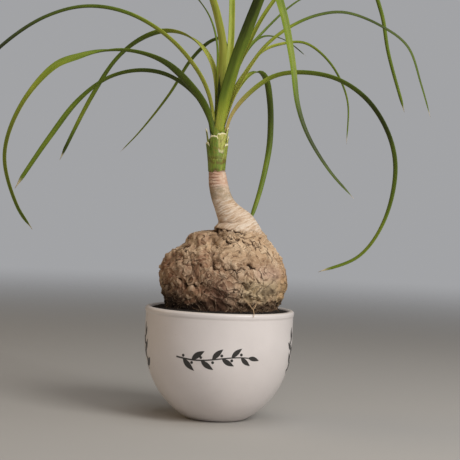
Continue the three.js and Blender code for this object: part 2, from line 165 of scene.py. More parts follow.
# Swellings and hollows of the caudex: [bearing, height, spread, push]; 0 is right, -90 is the front
LUMPS = [
    [-138, 140, 11, 3.4], [-160, 121, 12, 1.6], [-104, 143, 6, -3.4], [-98, 113, 15, 2.6],
    [-82, 134, 7, 2.4], [-52, 107, 16, 3], [-70, 97, 7, -2.4], [-28, 131, 10, -1.6], [-125, 101, 10, 2.2],
    [40, 115, 15, 3], [75, 135, 9, -2.6], [105, 119, 14, 3.2], [140, 137, 11, 2.4], [150, 101, 9, -2],
]
CAUDEX_X = 2
LUMP_REACH = 40  # from the caudex's middle to the middle of a swelling
LUMP_SHOULDER = 122  # above this height the caudex draws in
LUMP_LEAN = 0.16  # and the reach is so much less for each millimetre

# Folds, slits and pits in the front of the bark: points [across, height], half width, depth
CREASES = [
    ([[-7, 158.5], [0, 157.8], [7, 158.2], [13, 160]], 0.9, 0.8),
    ([[-8, 153.5], [-5, 149.5], [0, 146], [6, 142.5]], 1.7, 3.2),
    ([[-8, 153], [-1, 152], [7, 152], [15.5, 150]], 0.9, 1.9),
    ([[4, 146.5], [10, 145], [17, 148]], 0.8, 1.2), ([[10, 149], [17, 146], [24, 147.5]], 0.8, 1.3),
    ([[15, 144.5], [20, 142], [23, 142]], 0.8, 1.5),
    ([[-8.5, 141], [-8.5, 134], [-7, 127], [-6, 122]], 1.8, 2.4),
    ([[-32, 114], [-30, 110], [-26, 108.3], [-18.5, 108.7]], 0.9, 2.4),
    ([[28.3, 145.5], [30, 139.5]], 0.9, 2.8), ([[20.5, 126.5], [23.3, 124.5], [26, 123.5]], 1.5, 3.6),
    ([[22.8, 112.5], [23.2, 112]], 0.8, 1.6), ([[12, 139.6], [12.4, 139.2]], 0.9, 1.8),
    ([[-5.3, 141.6], [-3.4, 141]], 0.8, 1.8), ([[-4.3, 147.9], [-4, 147.5]], 0.7, 1.4),
    ([[-1.4, 144.9], [-1.1, 144.5]], 0.7, 1.4), ([[-16.3, 144], [-16, 143.6]], 0.7, 1.4),
    ([[-11.6, 128], [-11.2, 127.6]], 0.8, 1.5), ([[-17.4, 141.4], [-13.5, 140.2]], 0.7, 1.5),
    ([[-31, 135], [-29, 137.5], [-25.5, 139]], 0.8, 1.4),
    ([[-36, 125.5], [-33, 128], [-28, 128]], 0.8, 1.4), ([[-23.8, 127], [-22.5, 123]], 1.1, 1.7),
    ([[-9, 125], [-6, 121.5], [-1, 121], [5, 122.3], [11, 122]], 0.8, 1.5),
    ([[13, 121.5], [14.7, 123.7], [16.5, 123.6], [18, 122]], 0.8, 1.5),
    ([[17, 112], [19.5, 107], [23, 102]], 0.9, 1.6), ([[1.5, 98.5], [6, 103], [12, 106.5]], 0.8, 1.3),
    ([[-41.5, 102.5], [-36, 106], [-31, 106]], 0.9, 1.5), ([[29.4, 98.4], [29.8, 98]], 0.8, 1.6),
    ([[35.3, 103.4], [35.8, 103]], 0.8, 1.6), ([[41, 102.5], [41.6, 102]], 0.8, 1.6),
]

# Thick roots under the caudex: [bearing, spread out, depth reached]
ROOTS = [
    [15, 38, 34], [80, 34, 26], [140, 38, 30], [205, 37, 36], [262, 35, 24], [318, 38, 30],
]
ROOT_START = (14, 69)  # how far out and how high a thick root leaves the caudex's foot
ROOT_BENDS = [(0.62, 57), (0.9, 43)]  # where it bends on its way: share of its spread, and height
ROOT_RADII = [6, 4.4, 2.8, 1.2]

# Thin pale roots in the air in front, where one hangs over the lip: radius, points
HANGING_ROOTLETS = [
    (0.42, [[21.7, -36, 97], [23.7, -44, 94.3], [25.6, -48.5, 92.4], [26.2, -52, 90.9],
            [26.4, -54.2, 89.7], [26.2, -55.1, 86.8]]),
    (0.35, [[28, -34.5, 97], [27.6, -43, 94.5], [25.9, -48, 92.6]]),
    (0.22, [[18, -37, 99], [21, -42, 97], [24.5, -43.5, 93.5]]),
    (0.22, [[31, -34, 98], [28, -41.5, 96], [24, -45, 92]]),
]
ROOTLET_RADIUS = 0.3
ROOTLET_COUNT = 11

# Crumbs strewn on a thin mat of soil
CRUMBS = {"Crumbs Per Square Metre": 500000.0, "Crumb Radius": 0.62 * MM, "Seed": 7}
CRUMB_GROUND = 1.1  # how far the mat is rough, up and down
MAT_SIDES = 120
MAT_INNER = (1, 42, 38)  # middle, half width and half depth of the mat's inner edge, in the caudex
MAT_GAP = 0.35  # from the mat to the pot's wall
MAT_TOP = SOIL_TOP + 0.9
MAT_FOOT = SOIL_TOP - 1.6
MAT_DIP = 1.2  # how far it falls away at the pot
MAT_HEAP = 1.1  # and how far it is heaped up at the plant

# The neck of leaf bases: [height, middle, radius]
NECK_SLICES = [
    [TRUNK_TOP + 0.3, -7, 6.7], [204, -7.2, 7], [211, -7.5, 7.1], [219, -7.4, 7.1], [225, -7.1, 6.6],
    [231, CROWN_X, 5.6], [239, CROWN_X, 4.4], [247, CROWN_X, 3.3], [255, CROWN_X, 2.2],
    [261, CROWN_X, 1.2],
]

NECK_RINGS = 90
NECK_SIDES = 72
STUB_STEPS = 14  # steps across an old leaf base
STUB_LEVELS = 12
STUB_THICK = 0.8

# Old leaf bases round the neck: [bearing, foot, top, half width in degrees, flare, tone], and whether
# the top is torn and the foot has a pale seam. The tone is partly their own colour and partly painted
# light and shade: darker on the left and front left, paler on the right and front right.
STUBS = [
    [188, 212, 232, 27, 2.2, 0.45, 1, 0], [202, 203, 221.5, 30, 1.8, 0.2, 1, 0],
    [246, 207, 227, 38, 0.6, 0.25, 1, 0], [297, 213, 229.5, 40, 0.6, 0.58, 1, 1],
    [350, 221, 234, 24, 0.9, 0.6, 1, 0], [356, 211, 226.5, 30, 1.0, 0.55, 1, 0],
    [340, 204, 220.5, 34, 0.8, 0.45, 1, 0], [60, 204, 216, 44, 1.4, 0.4, 1, 0],
    [120, 208, 225, 40, 1.5, 0.3, 1, 0], [275, 198.2, 208.5, 120, 0.1, 0.3, 0, 0],
    [95, 198.5, 210, 95, 0.3, 0.35, 0, 0],
]

# Leaves. Bearing of the leaf's upright plane, its seat [bearing, height] on the crown, its width, and
# its dead tip as dry. At even shares of its length, its turn in degrees and its tone, from 0, dark
# olive, to 1, pale yellow-green; the tone is partly the leaf's own colour and partly painted light and
# shade where it faces or turns from the lamps. Its middle line is [reach, height, sideways] from the
# crown. Some have a share of their width that the foot or the end keeps, a fold whose one half is
# painted in shade, or a straw blush near the foot.
LEAVES = [
    dict(
        name="front_broad", bearing=-62, seat=[-68, 229], width=11.5, dry=3, fold=0.2, thin=0.16,
        turn=[0, -10, 0, -8, 0], tone=[0.85, 0.66, 0.42, 0.6, 0.68, 0.2, 0.4],
        path=[
            [7.7, 248], [13.5, 263], [26, 286], [38, 303], [60, 329, -1], [84, 347, -5], [104, 324, -9],
            [110, 309, -7], [119, 276, -4], [125, 247, -2], [133, 225, 3], [144, 200, 16], [156, 181, 30],
        ],
    ),
    dict(
        name="left_curl", bearing=186, seat=[222, 227], width=9, dry=4,
        turn=[40, 36, 8, -56, -36, -34, -36], tone=[0.5, 0.4, 0.6, 0.78, 0.7, 0.6],
        path=[
            [11.5, 248], [27, 268], [45, 282.5], [67, 290], [91, 290.5], [113, 284.5], [132, 276],
            [158, 242], [168.5, 204], [158, 166], [145, 146],
        ],
    ),
    dict(
        name="right_curl", bearing=-14, seat=[-10, 227], width=7.5, dry=7, foot=0.45, blush=1,
        turn=[-10, -18, -28, -42, -50, -40, -38], tone=[0.9, 0.76, 0.56, 0.22, 0.46, 0.66, 0.62],
        path=[
            [11, 244], [25, 261.5], [44, 275], [65, 278.5], [94, 274], [119, 258], [137, 231], [143, 204],
            [136, 165], [118, 137], [86, 122],
        ],
    ),
    dict(
        name="young", bearing=262, seat=[258, 238], width=4, dry=2,
        turn=[0, 0, 0, 0], tone=[0.4, 0.2, 0.15],
        path=[[7.2, 253], [7.6, 265], [6.8, 276]],
    ),
    dict(
        name="left_high", bearing=200, seat=[203, 231], width=6, dry=4,
        turn=[10, 18, 28, 46, 52], tone=[0.95, 0.85, 0.42, 0.08, 0.05],
        path=[
            [8, 253], [18.5, 275], [44, 301], [78, 318], [112, 321], [145, 310], [179, 284], [206, 250],
            [222, 212],
        ],
    ),
    dict(
        name="left_spotted", bearing=148, seat=[150, 240], width=7.5, dry=6,
        turn=[-6, -6, 28, 6, 18, 14], tone=[0.9, 0.95, 0.85, 0.45, 0.5, 0.75, 0.2],
        path=[
            [4, 265], [8.5, 283], [19, 298], [34, 308], [57, 312], [80, 306], [104, 290], [129, 258],
            [161, 204],
        ],
    ),
    dict(
        name="left_low", bearing=166, seat=[172, 227], width=8, dry=8,
        turn=[40, 26, 12, 42, 40], tone=[0.3, 0.35, 0.5, 0.62, 0.6],
        path=[
            [11, 246], [27, 264], [47, 275], [70, 277.5], [95, 271], [120, 252], [144, 221], [173, 178],
        ],
    ),
    dict(
        name="right_high", bearing=8, seat=[8, 235], width=6.5, dry=5, thin=0.2,
        turn=[10, 22, 28, 40, 58, 60], tone=[0.95, 0.95, 0.8, 0.35, 0.28, 0.45, 0.45],
        path=[
            [11.5, 258], [23, 282], [36, 301], [54, 316.5], [77, 328], [100, 331.5], [131, 322],
            [153, 307], [166, 276], [175, 250],
        ],
    ),
    dict(
        name="right_short", bearing=52, seat=[46, 233], width=7.5, dry=4,
        turn=[0, 0, -8, -36, -20], tone=[1.0, 0.9, 0.8, 0.5, 0.33, 0.38, 0.6, 0.62, 0.6],
        path=[
            [17, 259], [35, 277], [50, 283], [60, 278.5], [67, 261], [70, 237], [69, 218], [60, 187],
            [46, 157],
        ],
    ),
    dict(
        name="front_up", bearing=250, seat=[246, 243], width=7.5, dry=4,
        turn=[0, 0, 0, 20], tone=[0.9, 0.92, 0.85, 0.65, 0.5],
        path=[
            [4.5, 275, 2], [9, 299, 3.5], [20, 321, 2], [33, 339], [52, 363], [80, 377], [110, 365],
            [132, 337],
        ],
    ),
    dict(
        name="upright", bearing=90, seat=[40, 247], width=6, dry=4,
        turn=[0, 0, 10, 30], tone=[0.9, 0.85, 0.78, 0.65, 0.5],
        path=[
            [3, 284, -6], [5, 302, -7], [9, 320, -7], [13, 338, -6.5], [28, 377, -4], [52, 401],
            [84, 399, 4],
        ],
    ),
    dict(
        name="back_arching", bearing=26, seat=[18, 248], width=6, dry=4,
        turn=[10, 16, -28, -30], tone=[0.9, 0.8, 0.7, 0.6, 0.55],
        path=[
            [8, 267], [16, 284], [33, 320], [46, 340], [68, 368], [100, 381], [130, 371], [148, 340],
            [157, 306], [176, 257],
        ],
    ),
    dict(
        name="back_right", bearing=40, seat=[30, 242], width=4.5, dry=6, thin=0.25,
        turn=[0, -52, -14, -8], tone=[0.95, 0.85, 0.6, 0.6],
        path=[
            [20, 274], [44, 299], [66, 307.5], [90, 310.5], [111, 303], [130, 288], [144, 265],
            [145, 228],
        ],
    ),
    dict(
        name="back_left", bearing=125, seat=[95, 233], width=4.5, dry=8, thin=0.2,
        turn=[0, 20, 14, 8], tone=[0.5, 0.35, 0.6, 0.72, 0.8],
        path=[
            [5, 267, -4], [5.5, 297, -8], [8, 306.5, -6], [15, 305, -2], [22, 302], [46, 289], [74, 264],
            [119, 233], [153, 214],
        ],
    ),
    dict(
        name="thin_back", bearing=62, seat=[64, 240], width=3.4, dry=5,
        turn=[0, 20, 20, 20], tone=[0.8, 0.6, 0.45, 0.4],
        path=[[18, 272], [49, 304], [72, 315], [105, 318], [130, 315], [160, 308]],
    ),
    dict(
        name="thin_right", bearing=56, seat=[84, 247], width=3.2, dry=5,
        turn=[0, 20, 20, 20], tone=[0.8, 0.6, 0.45, 0.4],
        path=[[20, 287], [54, 313], [99, 343], [125, 355], [150, 359]],
    ),
    dict(
        name="thin_left", bearing=138, seat=[138, 247], width=3.6, dry=5,
        turn=[0, 20, 40, 40], tone=[0.8, 0.6, 0.45, 0.4],
        path=[[4, 277], [6, 302], [14, 322], [28, 338], [52, 355], [84, 361], [112, 355]],
    ),
]

# Stains, and on the bark painted light and shade: tint, strength, and limits that the named fields lie
# between. The fields up, across, foot and scar are metres.
BARK_STAINS_AND_SHADE = [
    # Paler on the upper caudex: partly the bark's own colour, partly painted light from above
    ("d6b793", 0.5, ("up", 0.122, 0.14)),
    # Browner low on the left: partly painted shade on the side away from the key lamp
    ("8a6448", 0.4, ("up", 0.138, 0.128), ("across", 0.014, -0.002)),
    # Paler on the right of the bulge: partly painted light from the key lamp
    ("c3a593", 0.6, ("across", 0.022, 0.032), ("up", 0.104, 0.112), ("up", 0.13, 0.118)),
    ("85573f", 0.55, ("patches", 0.48, 0.6), ("across", 0.01, -0.02)),
    # Darker on the lower front, where the bulge turns under: painted shade
    ("64443a", 0.75, ("up", 0.122, 0.104), ("across", 0.022, -0.002), ("across", -0.024, 0.002)),
    ("c0ad88", 0.65, ("across", 0.012, 0.022), ("up", 0.119, 0.11), ("clouds", 0.3, 0.5)),
    ("b0834f", 0.5, ("across", 0.042, 0.05), ("clouds", 0.3, 0.5)),
    # Darker in the hollow low on the right: painted shade
    (
        "4f4030", 0.75, ("across", 0.029, 0.034), ("across", 0.047, 0.041), ("up", 0.111, 0.105),
        ("clouds", 0.38, 0.52),
    ),
    # Darkest low on the left, under the bulge and away from the lamps: painted shade
    ("33261d", 0.9, ("up", 0.112, 0.095), ("across", -0.018, -0.037)),
    # A dark band at the soil line: partly damp soil stain, partly painted shade where the caudex meets the
    # soil, darker on the left
    ("463021", 0.85, ("foot", 0.1075, 0.1035)),
    ("251c17", 0.85, ("foot", 0.1075, 0.1035), ("across", -0.004, -0.022)),
    # Pale just before each cork layer's edge: a painted highlight
    ("dcc2a2", 0.45, ("layer", 0.75, 1.0), ("grain", 0.4, 0.55)),
    # Dark just below each cork layer's edge: a painted shadow
    ("38251a", 0.75, ("layer", 0.22, 0.04), ("clouds", 0.42, 0.56)),
    # Darker where the relief is low: painted shade in its hollows
    ("4a3426", 0.6, ("rise", 0.35, -0.4)),
    # Dark in the cracks and pits: painted shade
    ("2c1e15", 0.85, ("dark", 0.3, 0.9)),
    # Brown under the shelf on the upper left: a painted shadow under its overhang
    (
        "7d5c3e", 0.6, ("up", 0.142, 0.146), ("up", 0.1535, 0.151), ("across", 0.008, 0),
        ("across", -0.012, -0.008),
    ),
]
TRUNK_STAINS = [
    ("9b7a58", 0.5, ("across", -0.006, -0.012), ("clouds", 0.35, 0.55)),
    ("caa088", 0.7, ("up", 0.184, 0.19)),
    ("e8d3bd", 0.7, ("up", 0.188, 0.192), ("patches", 0.5, 0.6)),
    ("8f5b45", 0.75, ("up", 0.184, 0.187), ("ring", 0.45, 0.1), ("across", -0.002, -0.007)),
    ("8b7c62", 0.6, ("up", 0.172, 0.18), ("up", 0.19, 0.184), ("clouds", 0.4, 0.55)),
    ("5d4630", 0.7, ("up", 0.1975, 0.1992)),
]
# Darker where the creases are steep: painted shade in the folds, slits and pits
CREASE_SHADE = [("4a3323", 0.8, ("crease", 0.4, 1.3)), ("21150f", 0.9, ("crease", 1.2, 2.2))]
SHEATH_STAINS = [
    ("8a7a35", 0.6, ("blots", 0.55, 0.66)),
    ("6a3f20", 0.35, ("blots", 0.4, 0.33)),
    ("6a4c20", 0.6, ("scar", 0.2035, 0.206), ("scar", 0.212, 0.209), ("blots", 0.4, 0.52)),
    ("5d4c25", 0.55, ("scar", 0.2, 0.1975)),
    ("efe6bd", 1.0, ("edge", 0.35, 0.75)),
]


def linear(hex_colour):
    """An sRGB hex colour as linear red, green, blue and alpha."""
    parts = [int(hex_colour[i : i + 2], 16) / 255 for i in (0, 2, 4)]
    return (*[c / 12.92 if c <= 0.04045 else ((c + 0.055) / 1.055) ** 2.4 for c in parts], 1)


def smooth(value, low, high):
    """0 below low, 1 above high, and an eased step between them."""
    share = np.clip((value - low) / (high - low), 0, 1)
    return share * share * (3 - 2 * share)


def each(size):
    """The scale of a pattern in which one feature is so many millimetres across."""
    return 1 / (size * MM)


def polar(bearing, reach, height, middle=0):
    """The point at a height that lies so far out from a middle, on a bearing in degrees."""
    angle = math.radians(bearing)
    return np.array([middle + reach * math.cos(angle), reach * math.sin(angle), height])


def turns(sides):
    """Even angles once round."""
    return 2 * math.pi * np.arange(sides) / sides


def add_node(tree, kind, sockets=(), stops=(), **settings):
    """Adds a node to a tree. kind may leave out ShaderNode, and may end in the node's operation. sockets
    holds a value, node or socket for each input, by name or number, or in a list in their own order. For
    a Map Range that is its value, the two ends that it goes from, and the two that it goes to."""
    kind, _, operation = kind.partition(" ")
    node = tree.nodes.new(kind if "Node" in kind else "ShaderNode" + kind)
    if operation:
        node.operation = operation
    for name, value in settings.items():
        setattr(node, name, value)
    for i, (place, colour) in enumerate(stops):
        ramp = node.color_ramp.elements
        stop = ramp[i] if i < len(ramp) else ramp.new(place)
        stop.position = place
        stop.color = linear(colour)
    for key, value in sockets.items() if isinstance(sockets, dict) else enumerate(sockets):
        named = [socket for socket in node.inputs if socket.enabled and socket.name == key]
        socket = named[0] if named else node.inputs[key]
        if isinstance(value, bpy.types.Node):
            value = next(output for output in value.outputs if output.enabled)
        if isinstance(value, bpy.types.NodeSocket):
            tree.links.new(value, socket)
        else:
            socket.default_value = value
    return node


def new_material(name, attributes=(), patterns=()):
    """An empty material, what adds a node to it, and its fields. They are the spot on the object, how far
    across and up that is in metres, these attributes of the mesh, and these patterns, each with the
    size of its features, its detail and its roughness."""
    material = bpy.data.materials.new(name)
    material.use_nodes = True
    material.node_tree.nodes.clear()
    add = functools.partial(add_node, material.node_tree)
    field = {"spot": add("TexCoord").outputs["Object"]}
    field["across"], _, field["up"] = add("SeparateXYZ", [field["spot"]]).outputs
    for key in attributes:
        field[key] = add("Attribute", attribute_name=key).outputs["Fac"]
    for key, size, detail, rough in patterns:
        sockets = {"Vector": field["spot"], "Scale": each(size), "Detail": detail, "Roughness": rough}
        field[key] = add("TexNoise", sockets)
    return material, add, field


def surfaced(material, add, sockets):
    """The material, with a Principled surface that has these values."""
    add("OutputMaterial", {"Surface": add("BsdfPrincipled", sockets)})
    return material


def stained_and_shaded(add, colour, field, stains):
    """The colour under its tints: stains, and on the bark painted light and shade. Each has a tint, a
    strength, and limits that fields lie between.
    """
    for tint, share, *limits in stains:
        for name, low, high in limits:
            share = add("MapRange", [field[name], low, high, 0, share], **EASED)
        colour = add("Mix", {"Factor": share, "A": colour, "B": linear(tint)}, data_type="RGBA")
    return colour


def new_geometry_tree(name, inputs):
    """A Geometry Nodes tree with named inputs, what adds a node to it, and its inputs as sockets."""
    tree = bpy.data.node_groups.new(name, "GeometryNodeTree")
    kinds = {int: "Int", float: "Float", bpy.types.Material: "Material"}
    sockets = [("Geometry", "OUTPUT", "Geometry"), ("Geometry", "INPUT", "Geometry")]
    sockets += [(label, "INPUT", kinds[type(value)]) for label, value in inputs.items()]
    for label, way, kind in sockets:
        tree.interface.new_socket(label, in_out=way, socket_type="NodeSocket" + kind)
    add = functools.partial(add_node, tree)
    return tree, add, add("NodeGroupInput").outputs


def end_tree(add, given, geometry):
    """Ends a Geometry Nodes tree: its instances are made real and given the material."""
    whole = add("GeometryNodeRealizeInstances", {"Geometry": geometry})
    sockets = {"Geometry": whole, "Material": given["Material"]}
    add("NodeGroupOutput", {"Geometry": add("GeometryNodeSetMaterial", sockets)})


def grown_mesh(piece, make_tree, values):
    """Runs a tree on the piece with these input values, and keeps the result as a plain mesh."""
    tree = make_tree(values)
    modifier = piece.modifiers.new(tree.name, "NODES")
    modifier.node_group = tree
    for item in tree.interface.items_tree:
        if item.in_out == "INPUT" and item.name in values:
            modifier[item.identifier] = values[item.name]
    return settled(piece)


def settled(piece):
    """The piece with its modifiers taken up in its mesh."""
    graph = bpy.context.evaluated_depsgraph_get()
    shape = piece.evaluated_get(graph)
    mesh = bpy.data.meshes.new_from_object(shape, preserve_all_data_layers=True, depsgraph=graph)
    name = piece.name
    bpy.data.objects.remove(piece)
    return mesh_object(name, mesh)


def new_object(name, data):
    item = bpy.data.objects.new(name, data)
    bpy.context.scene.collection.objects.link(item)
    return item


def mesh_object(name, mesh, rounded=True):
    """An object at the origin for a mesh, with smooth faces if it is rounded."""
    mesh.name = name
    if rounded:
        mesh.shade_smooth()
    return new_object(name, mesh)


def mesh_of(points, faces):
    """A mesh from points in millimetres."""
    mesh = bpy.data.meshes.new("mesh")
    mesh.from_pydata((np.asarray(points, float) * MM).tolist(), [], faces)
    return mesh


def joined(shapes):
    """Several shapes, each as points and faces, as one."""
    points, faces = [], []
    for more, more_faces in shapes:
        faces += [[len(points) + i for i in face] for face in more_faces]
        points += list(more)
    return points, faces


def store(mesh, **attributes):
    """Keeps one number of each name for each point of a mesh."""
    for name, values in attributes.items():
        layer = mesh.attributes.new(name, "FLOAT", "POINT")
        layer.data.foreach_set("value", np.asarray(values, np.float32))


def read_points(mesh, what):
    """The co or normal of each point of a mesh."""
    flat = np.zeros(len(mesh.vertices) * 3, np.float32)
    mesh.vertices.foreach_get(what, flat)
    return flat.reshape(-1, 3).astype(float)


def dress(piece, material, node=None):
    """Gives a finished piece its material, its body and the node that it stands for."""
    piece.data.materials.clear()
    piece.data.materials.append(material)
    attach(piece, "root")
    if node:
        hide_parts(node)


def skin_faces(rings, count, wrap=False):
    """Faces of a skin over rings of points that run anticlockwise about the way they advance. Where it
    wraps, it goes on from the last ring to the first."""
    faces = []
    for j in range(rings if wrap else rings - 1):
        for k in range(count):
            a, b = j * count + k, j * count + (k + 1) % count
            faces.append([i % (rings * count) for i in (a, b, b + count, a + count)])
    return faces


def strap_faces(rings, count):
    """Faces of a skin over flat rings, with each end closed from side to side."""
    faces = skin_faces(rings, count)
    last = (rings - 1) * count
    for k in range(count // 2 - 1):
        other = count - 1 - k
        faces.append([k, other, other - 1, k + 1])
        faces.append([last + i for i in (k, k + 1, other - 1, other)])
    return faces


def capped(rings, ends=None):
    """Points and faces of a skin over rings, with a fan at each end to its middle or the given point."""
    count = len(rings[0])
    points = [*np.concatenate(rings), *(ends or (rings[0].mean(0), rings[-1].mean(0)))]
    faces = skin_faces(len(rings), count)
    low, high = len(points) - 2, len(points) - 1
    top = (len(rings) - 1) * count
    for k in range(count):
        after = (k + 1) % count
        faces.append((low, after, k))
        faces.append((high, top + k, top + after))
    return points, faces


def level_ring(height, middle, half, depth, sides):
    """A level ellipse of points about a middle on the X axis, from its half width and half depth."""
    turn = turns(sides)
    return np.column_stack([middle + half * np.cos(turn), depth * np.sin(turn), np.full(sides, height)])


def unit(rows):
    """Each row as a vector of length 1."""
    return rows / np.linalg.norm(rows, axis=1)[:, None]


def tube(path, radii, sides=12):
    """Points and faces of a closed tube along a path, with a radius at each of its points."""
    line = np.array(path, float)
    along = unit(np.gradient(line, axis=0))
    side = unit(np.cross(along, (0.3, 0.2, 0.93)))  # a direction that no tube runs in
    other = np.cross(along, side)
    turn = turns(sides)
    rings = [
        middle + radius * (np.outer(np.cos(turn), a) + np.outer(np.sin(turn), b))
        for middle, radius, a, b in zip(line, radii, side, other)
    ]
    return capped(rings)


def bend(p1, p2, t1, t2, w):
    """A point on the smooth curve from p1 to p2 that leaves along t1 and arrives along t2."""
    return p1 + w * t1 + w**2 * (3 * (p2 - p1) - 2 * t1 - t2) + w**3 * (2 * (p1 - p2) + t1 + t2)


def even_curve(points, share):
    """A curve with even steps from point to point, at a share of the way along."""
    place = share * (len(points) - 1)
    i = min(int(place), len(points) - 2)
    p1, p2 = points[i], points[i + 1]
    p0 = points[i - 1] if i else 2 * p1 - p2
    p3 = points[i + 2] if i + 2 < len(points) else 2 * p2 - p1
    return bend(p1, p2, (p2 - p0) / 2, (p3 - p1) / 2, place - i)


def dense_line(points, steps=24):
    """A dense line through points whose curve doesn't loop where they stand close together."""
    ends = [2 * points[0] - points[1], *points, 2 * points[-1] - points[-2]]
    line = []
    for p0, p1, p2, p3 in zip(ends, ends[1:], ends[2:], ends[3:]):
        d0, d1, d2 = [math.sqrt(np.linalg.norm(b - a)) for a, b in ((p0, p1), (p1, p2), (p2, p3))]
        t1 = ((p1 - p0) / d0 - (p2 - p0) / (d0 + d1) + (p2 - p1) / d1) * d1
        t2 = ((p2 - p1) / d1 - (p3 - p1) / (d1 + d2) + (p3 - p2) / d2) * d1
        line += [bend(p1, p2, t1, t2, k / steps) for k in range(steps)]
    return np.array([*line, points[-1]])


def along_values(values, shares):
    """Values given at even shares of a length, eased between them."""
    place = np.asarray(shares) * (len(values) - 1)
    i = np.minimum(place.astype(int), len(values) - 2)
    ease = smooth(place - i, 0, 1)
    values = np.asarray(values, float)
    return values[i] * (1 - ease) + values[i + 1] * ease


def make_camera():
    data = bpy.data.cameras.new("camera")
    data.sensor_width = 36
    data.lens = data.sensor_width * FOCAL_PIXELS / PICTURE_PIXELS
    turn = Matrix.Rotation(-CAMERA_YAW, 4, "Z") @ Matrix.Rotation(math.pi / 2 - CAMERA_DIP, 4, "X")
    place = Matrix.Translation((0, -CAMERA_BACK * MM, CAMERA_HEIGHT * MM))
    camera = new_object("camera", data)
    camera.matrix_world = place @ turn @ Matrix.Rotation(CAMERA_ROLL, 4, "Z")
    bpy.context.scene.camera = camera


def make_lamp(name, place, size, watts, colour):
    """A soft square lamp at a place in metres, aimed at the middle of the plant."""
    data = bpy.data.lights.new(name, "AREA")
    data.size = size
    data.energy = watts
    data.color = linear(colour)[:3]
    turn = (Vector(LAMP_AIM) - Vector(place)).to_track_quat("-Z", "Y").to_matrix().to_4x4()
    new_object(name, data).matrix_world = Matrix.Translation(place) @ turn


def make_room():
    """A plain pale room. It is seen paler than it glows on the plant."""
    world = bpy.data.worlds.new("studio")
    world.use_nodes = True
    world.node_tree.nodes.clear()
    add = functools.partial(add_node, world.node_tree)
    seen = add("LightPath").outputs["Is Camera Ray"]
    glow = add("MapRange", [seen, 0, 1, ROOM_GLOW, ROOM_PALE])
    add("OutputWorld", {"Surface": add("Background", {"Color": linear(ROOM_COLOUR), "Strength": glow})})
    bpy.context.scene.world = world
    bpy.context.scene.view_settings.view_transform = "Standard"


def make_floor():
    """A plain pale floor that fades into the room."""
    corners = [(a * FLOOR_REACH, b * FLOOR_REACH, 0) for a, b in ((-1, -1), (1, -1), (1, 1), (-1, 1))]
    floor = mesh_object("floor", mesh_of(corners, [(0, 1, 2, 3)]))
    material, add, field = new_material("matt painted floor")
    far = add("VectorMath LENGTH", [field["spot"]])
    fade = add("MapRange", [far, *FLOOR_FADE], **EASED)
    paint = add("BsdfPrincipled", {"Base Color": linear(FLOOR_COLOUR), "Roughness": 0.9})
    add("OutputMaterial", {"Surface": add("MixShader", [fade, paint, add("BsdfTransparent")])})
    floor.data.materials.append(material)


def make_studio():
    """A plain pale floor and room, and soft light, mostly from the right front."""
    make_room()
    make_floor()
    for lamp in LAMPS:
        make_lamp(*lamp)


def glazed_stoneware():
    """Stoneware under a satin cream glaze: an even, soft gloss with faint clouds and pinholes."""
    patterns = [("clouds", 33, 3, 0.5), ("specks", 1.1, 2, 0.5), ("ripple", 6, 3, 0.5)]
    material, add, field = new_material("satin glazed stoneware", patterns=patterns)
    colour = add("ValToRGB", [field["clouds"]], [(0.3, "dcd5d3"), (0.7, "e4dddb")])
    # The glaze runs thin over the lip, and a few iron specks show through it
    stains = [("cbbba4", 0.35, ("up", 0.0876, 0.089)), ("9d8c78", 0.5, ("specks", 0.71, 0.78))]
    sockets = {"Roughness": 0.36, "IOR": 1.5, "Coat Weight": 0.15, "Coat Roughness": 0.22}
    sockets["Base Color"] = stained_and_shaded(add, colour, field, stains)
    sockets["Normal"] = add("Bump", {"Height": field["ripple"], "Strength": 0.05, "Distance": MM})
    return surfaced(material, add, sockets)


def pot_profile():
    """The pot's outline from the middle of its foot, up the outside, over the lip and down the inside."""
    foot = [[0, FOOT_HOLLOW], [FOOT_RING - 1.4, FOOT_HOLLOW], [FOOT_RING - 0.6, 0.15], [FOOT_RING, 0]]
    foot += [[POT_FOOT_RADIUS - 0.5, 0], [POT_FOOT_RADIUS + 0.1, 0.35]]
    turn = np.linspace(math.asin((POT_FOOT_RADIUS + 1.6) / POT_RADIUS), math.pi / 2, 40)
    bowl = [[POT_RADIUS * math.sin(a), BOWL_TOP - BOWL_DEPTH * math.cos(a)] for a in turn]
    lip_foot = POT_HEIGHT - LIP_HEIGHT
    wall = [[POT_RADIUS, z] for z in np.linspace(BOWL_TOP + 3, lip_foot - 1.2, 8)]
    step = np.linspace(0, 1, 9)
    band = [[POT_RADIUS + LIP_PROUD * smooth(s, 0, 1), lip_foot - 0.9 + 2.4 * s] for s in step]
    half = (LIP_PROUD + POT_WALL) / 2
    middle, top = POT_RADIUS + LIP_PROUD - half, POT_HEIGHT - LIP_ROUND
    arc = np.linspace(0, math.pi, 15)
    lip = [[middle + half * math.cos(a), top + LIP_ROUND * math.sin(a)] for a in arc]
    inside = POT_RADIUS - POT_WALL
    fall = np.linspace(math.pi / 2, 0, 24)
    hollow = [[inside * math.sin(a), BOWL_TOP - (BOWL_TOP - POT_FLOOR) * math.cos(a)] for a in fall]
    return [*foot, *bowl, *wall, *band, *lip, *hollow]


def make_pot():
    (_, low), *profile, (_, high) = pot_profile()
    rings = [level_ring(height, 0, radius, radius, POT_SIDES) for radius, height in profile]
    piece = mesh_object("glazed_pot", mesh_of(*capped(rings, [(0, 0, low), (0, 0, high)])))
    dress(piece, glazed_stoneware(), "pot")


def decal_ink():
    """Charcoal transfer print that was fired under a thin clear glaze: flat, with a low soft gloss."""
    material, add, _ = new_material("charcoal transfer print")
    return surfaced(material, add, {"Base Color": linear("33312f"), "Roughness": 0.4})


def sprig_leaf(x, up, lean, curl, size):
    """A printed leaf as a flat strip, which leaves (x, up) at a lean and curls on its way."""
    blade = []
    for share in np.linspace(0, 1, 14):
        heading = lean - curl * share
        half = 0.17 * size * math.sin(math.pi * share**0.85) + 0.08
        blade.append((x, up, half, heading))
        x += size / 13 * math.cos(heading)
        up += size / 13 * math.sin(heading)
    return blade


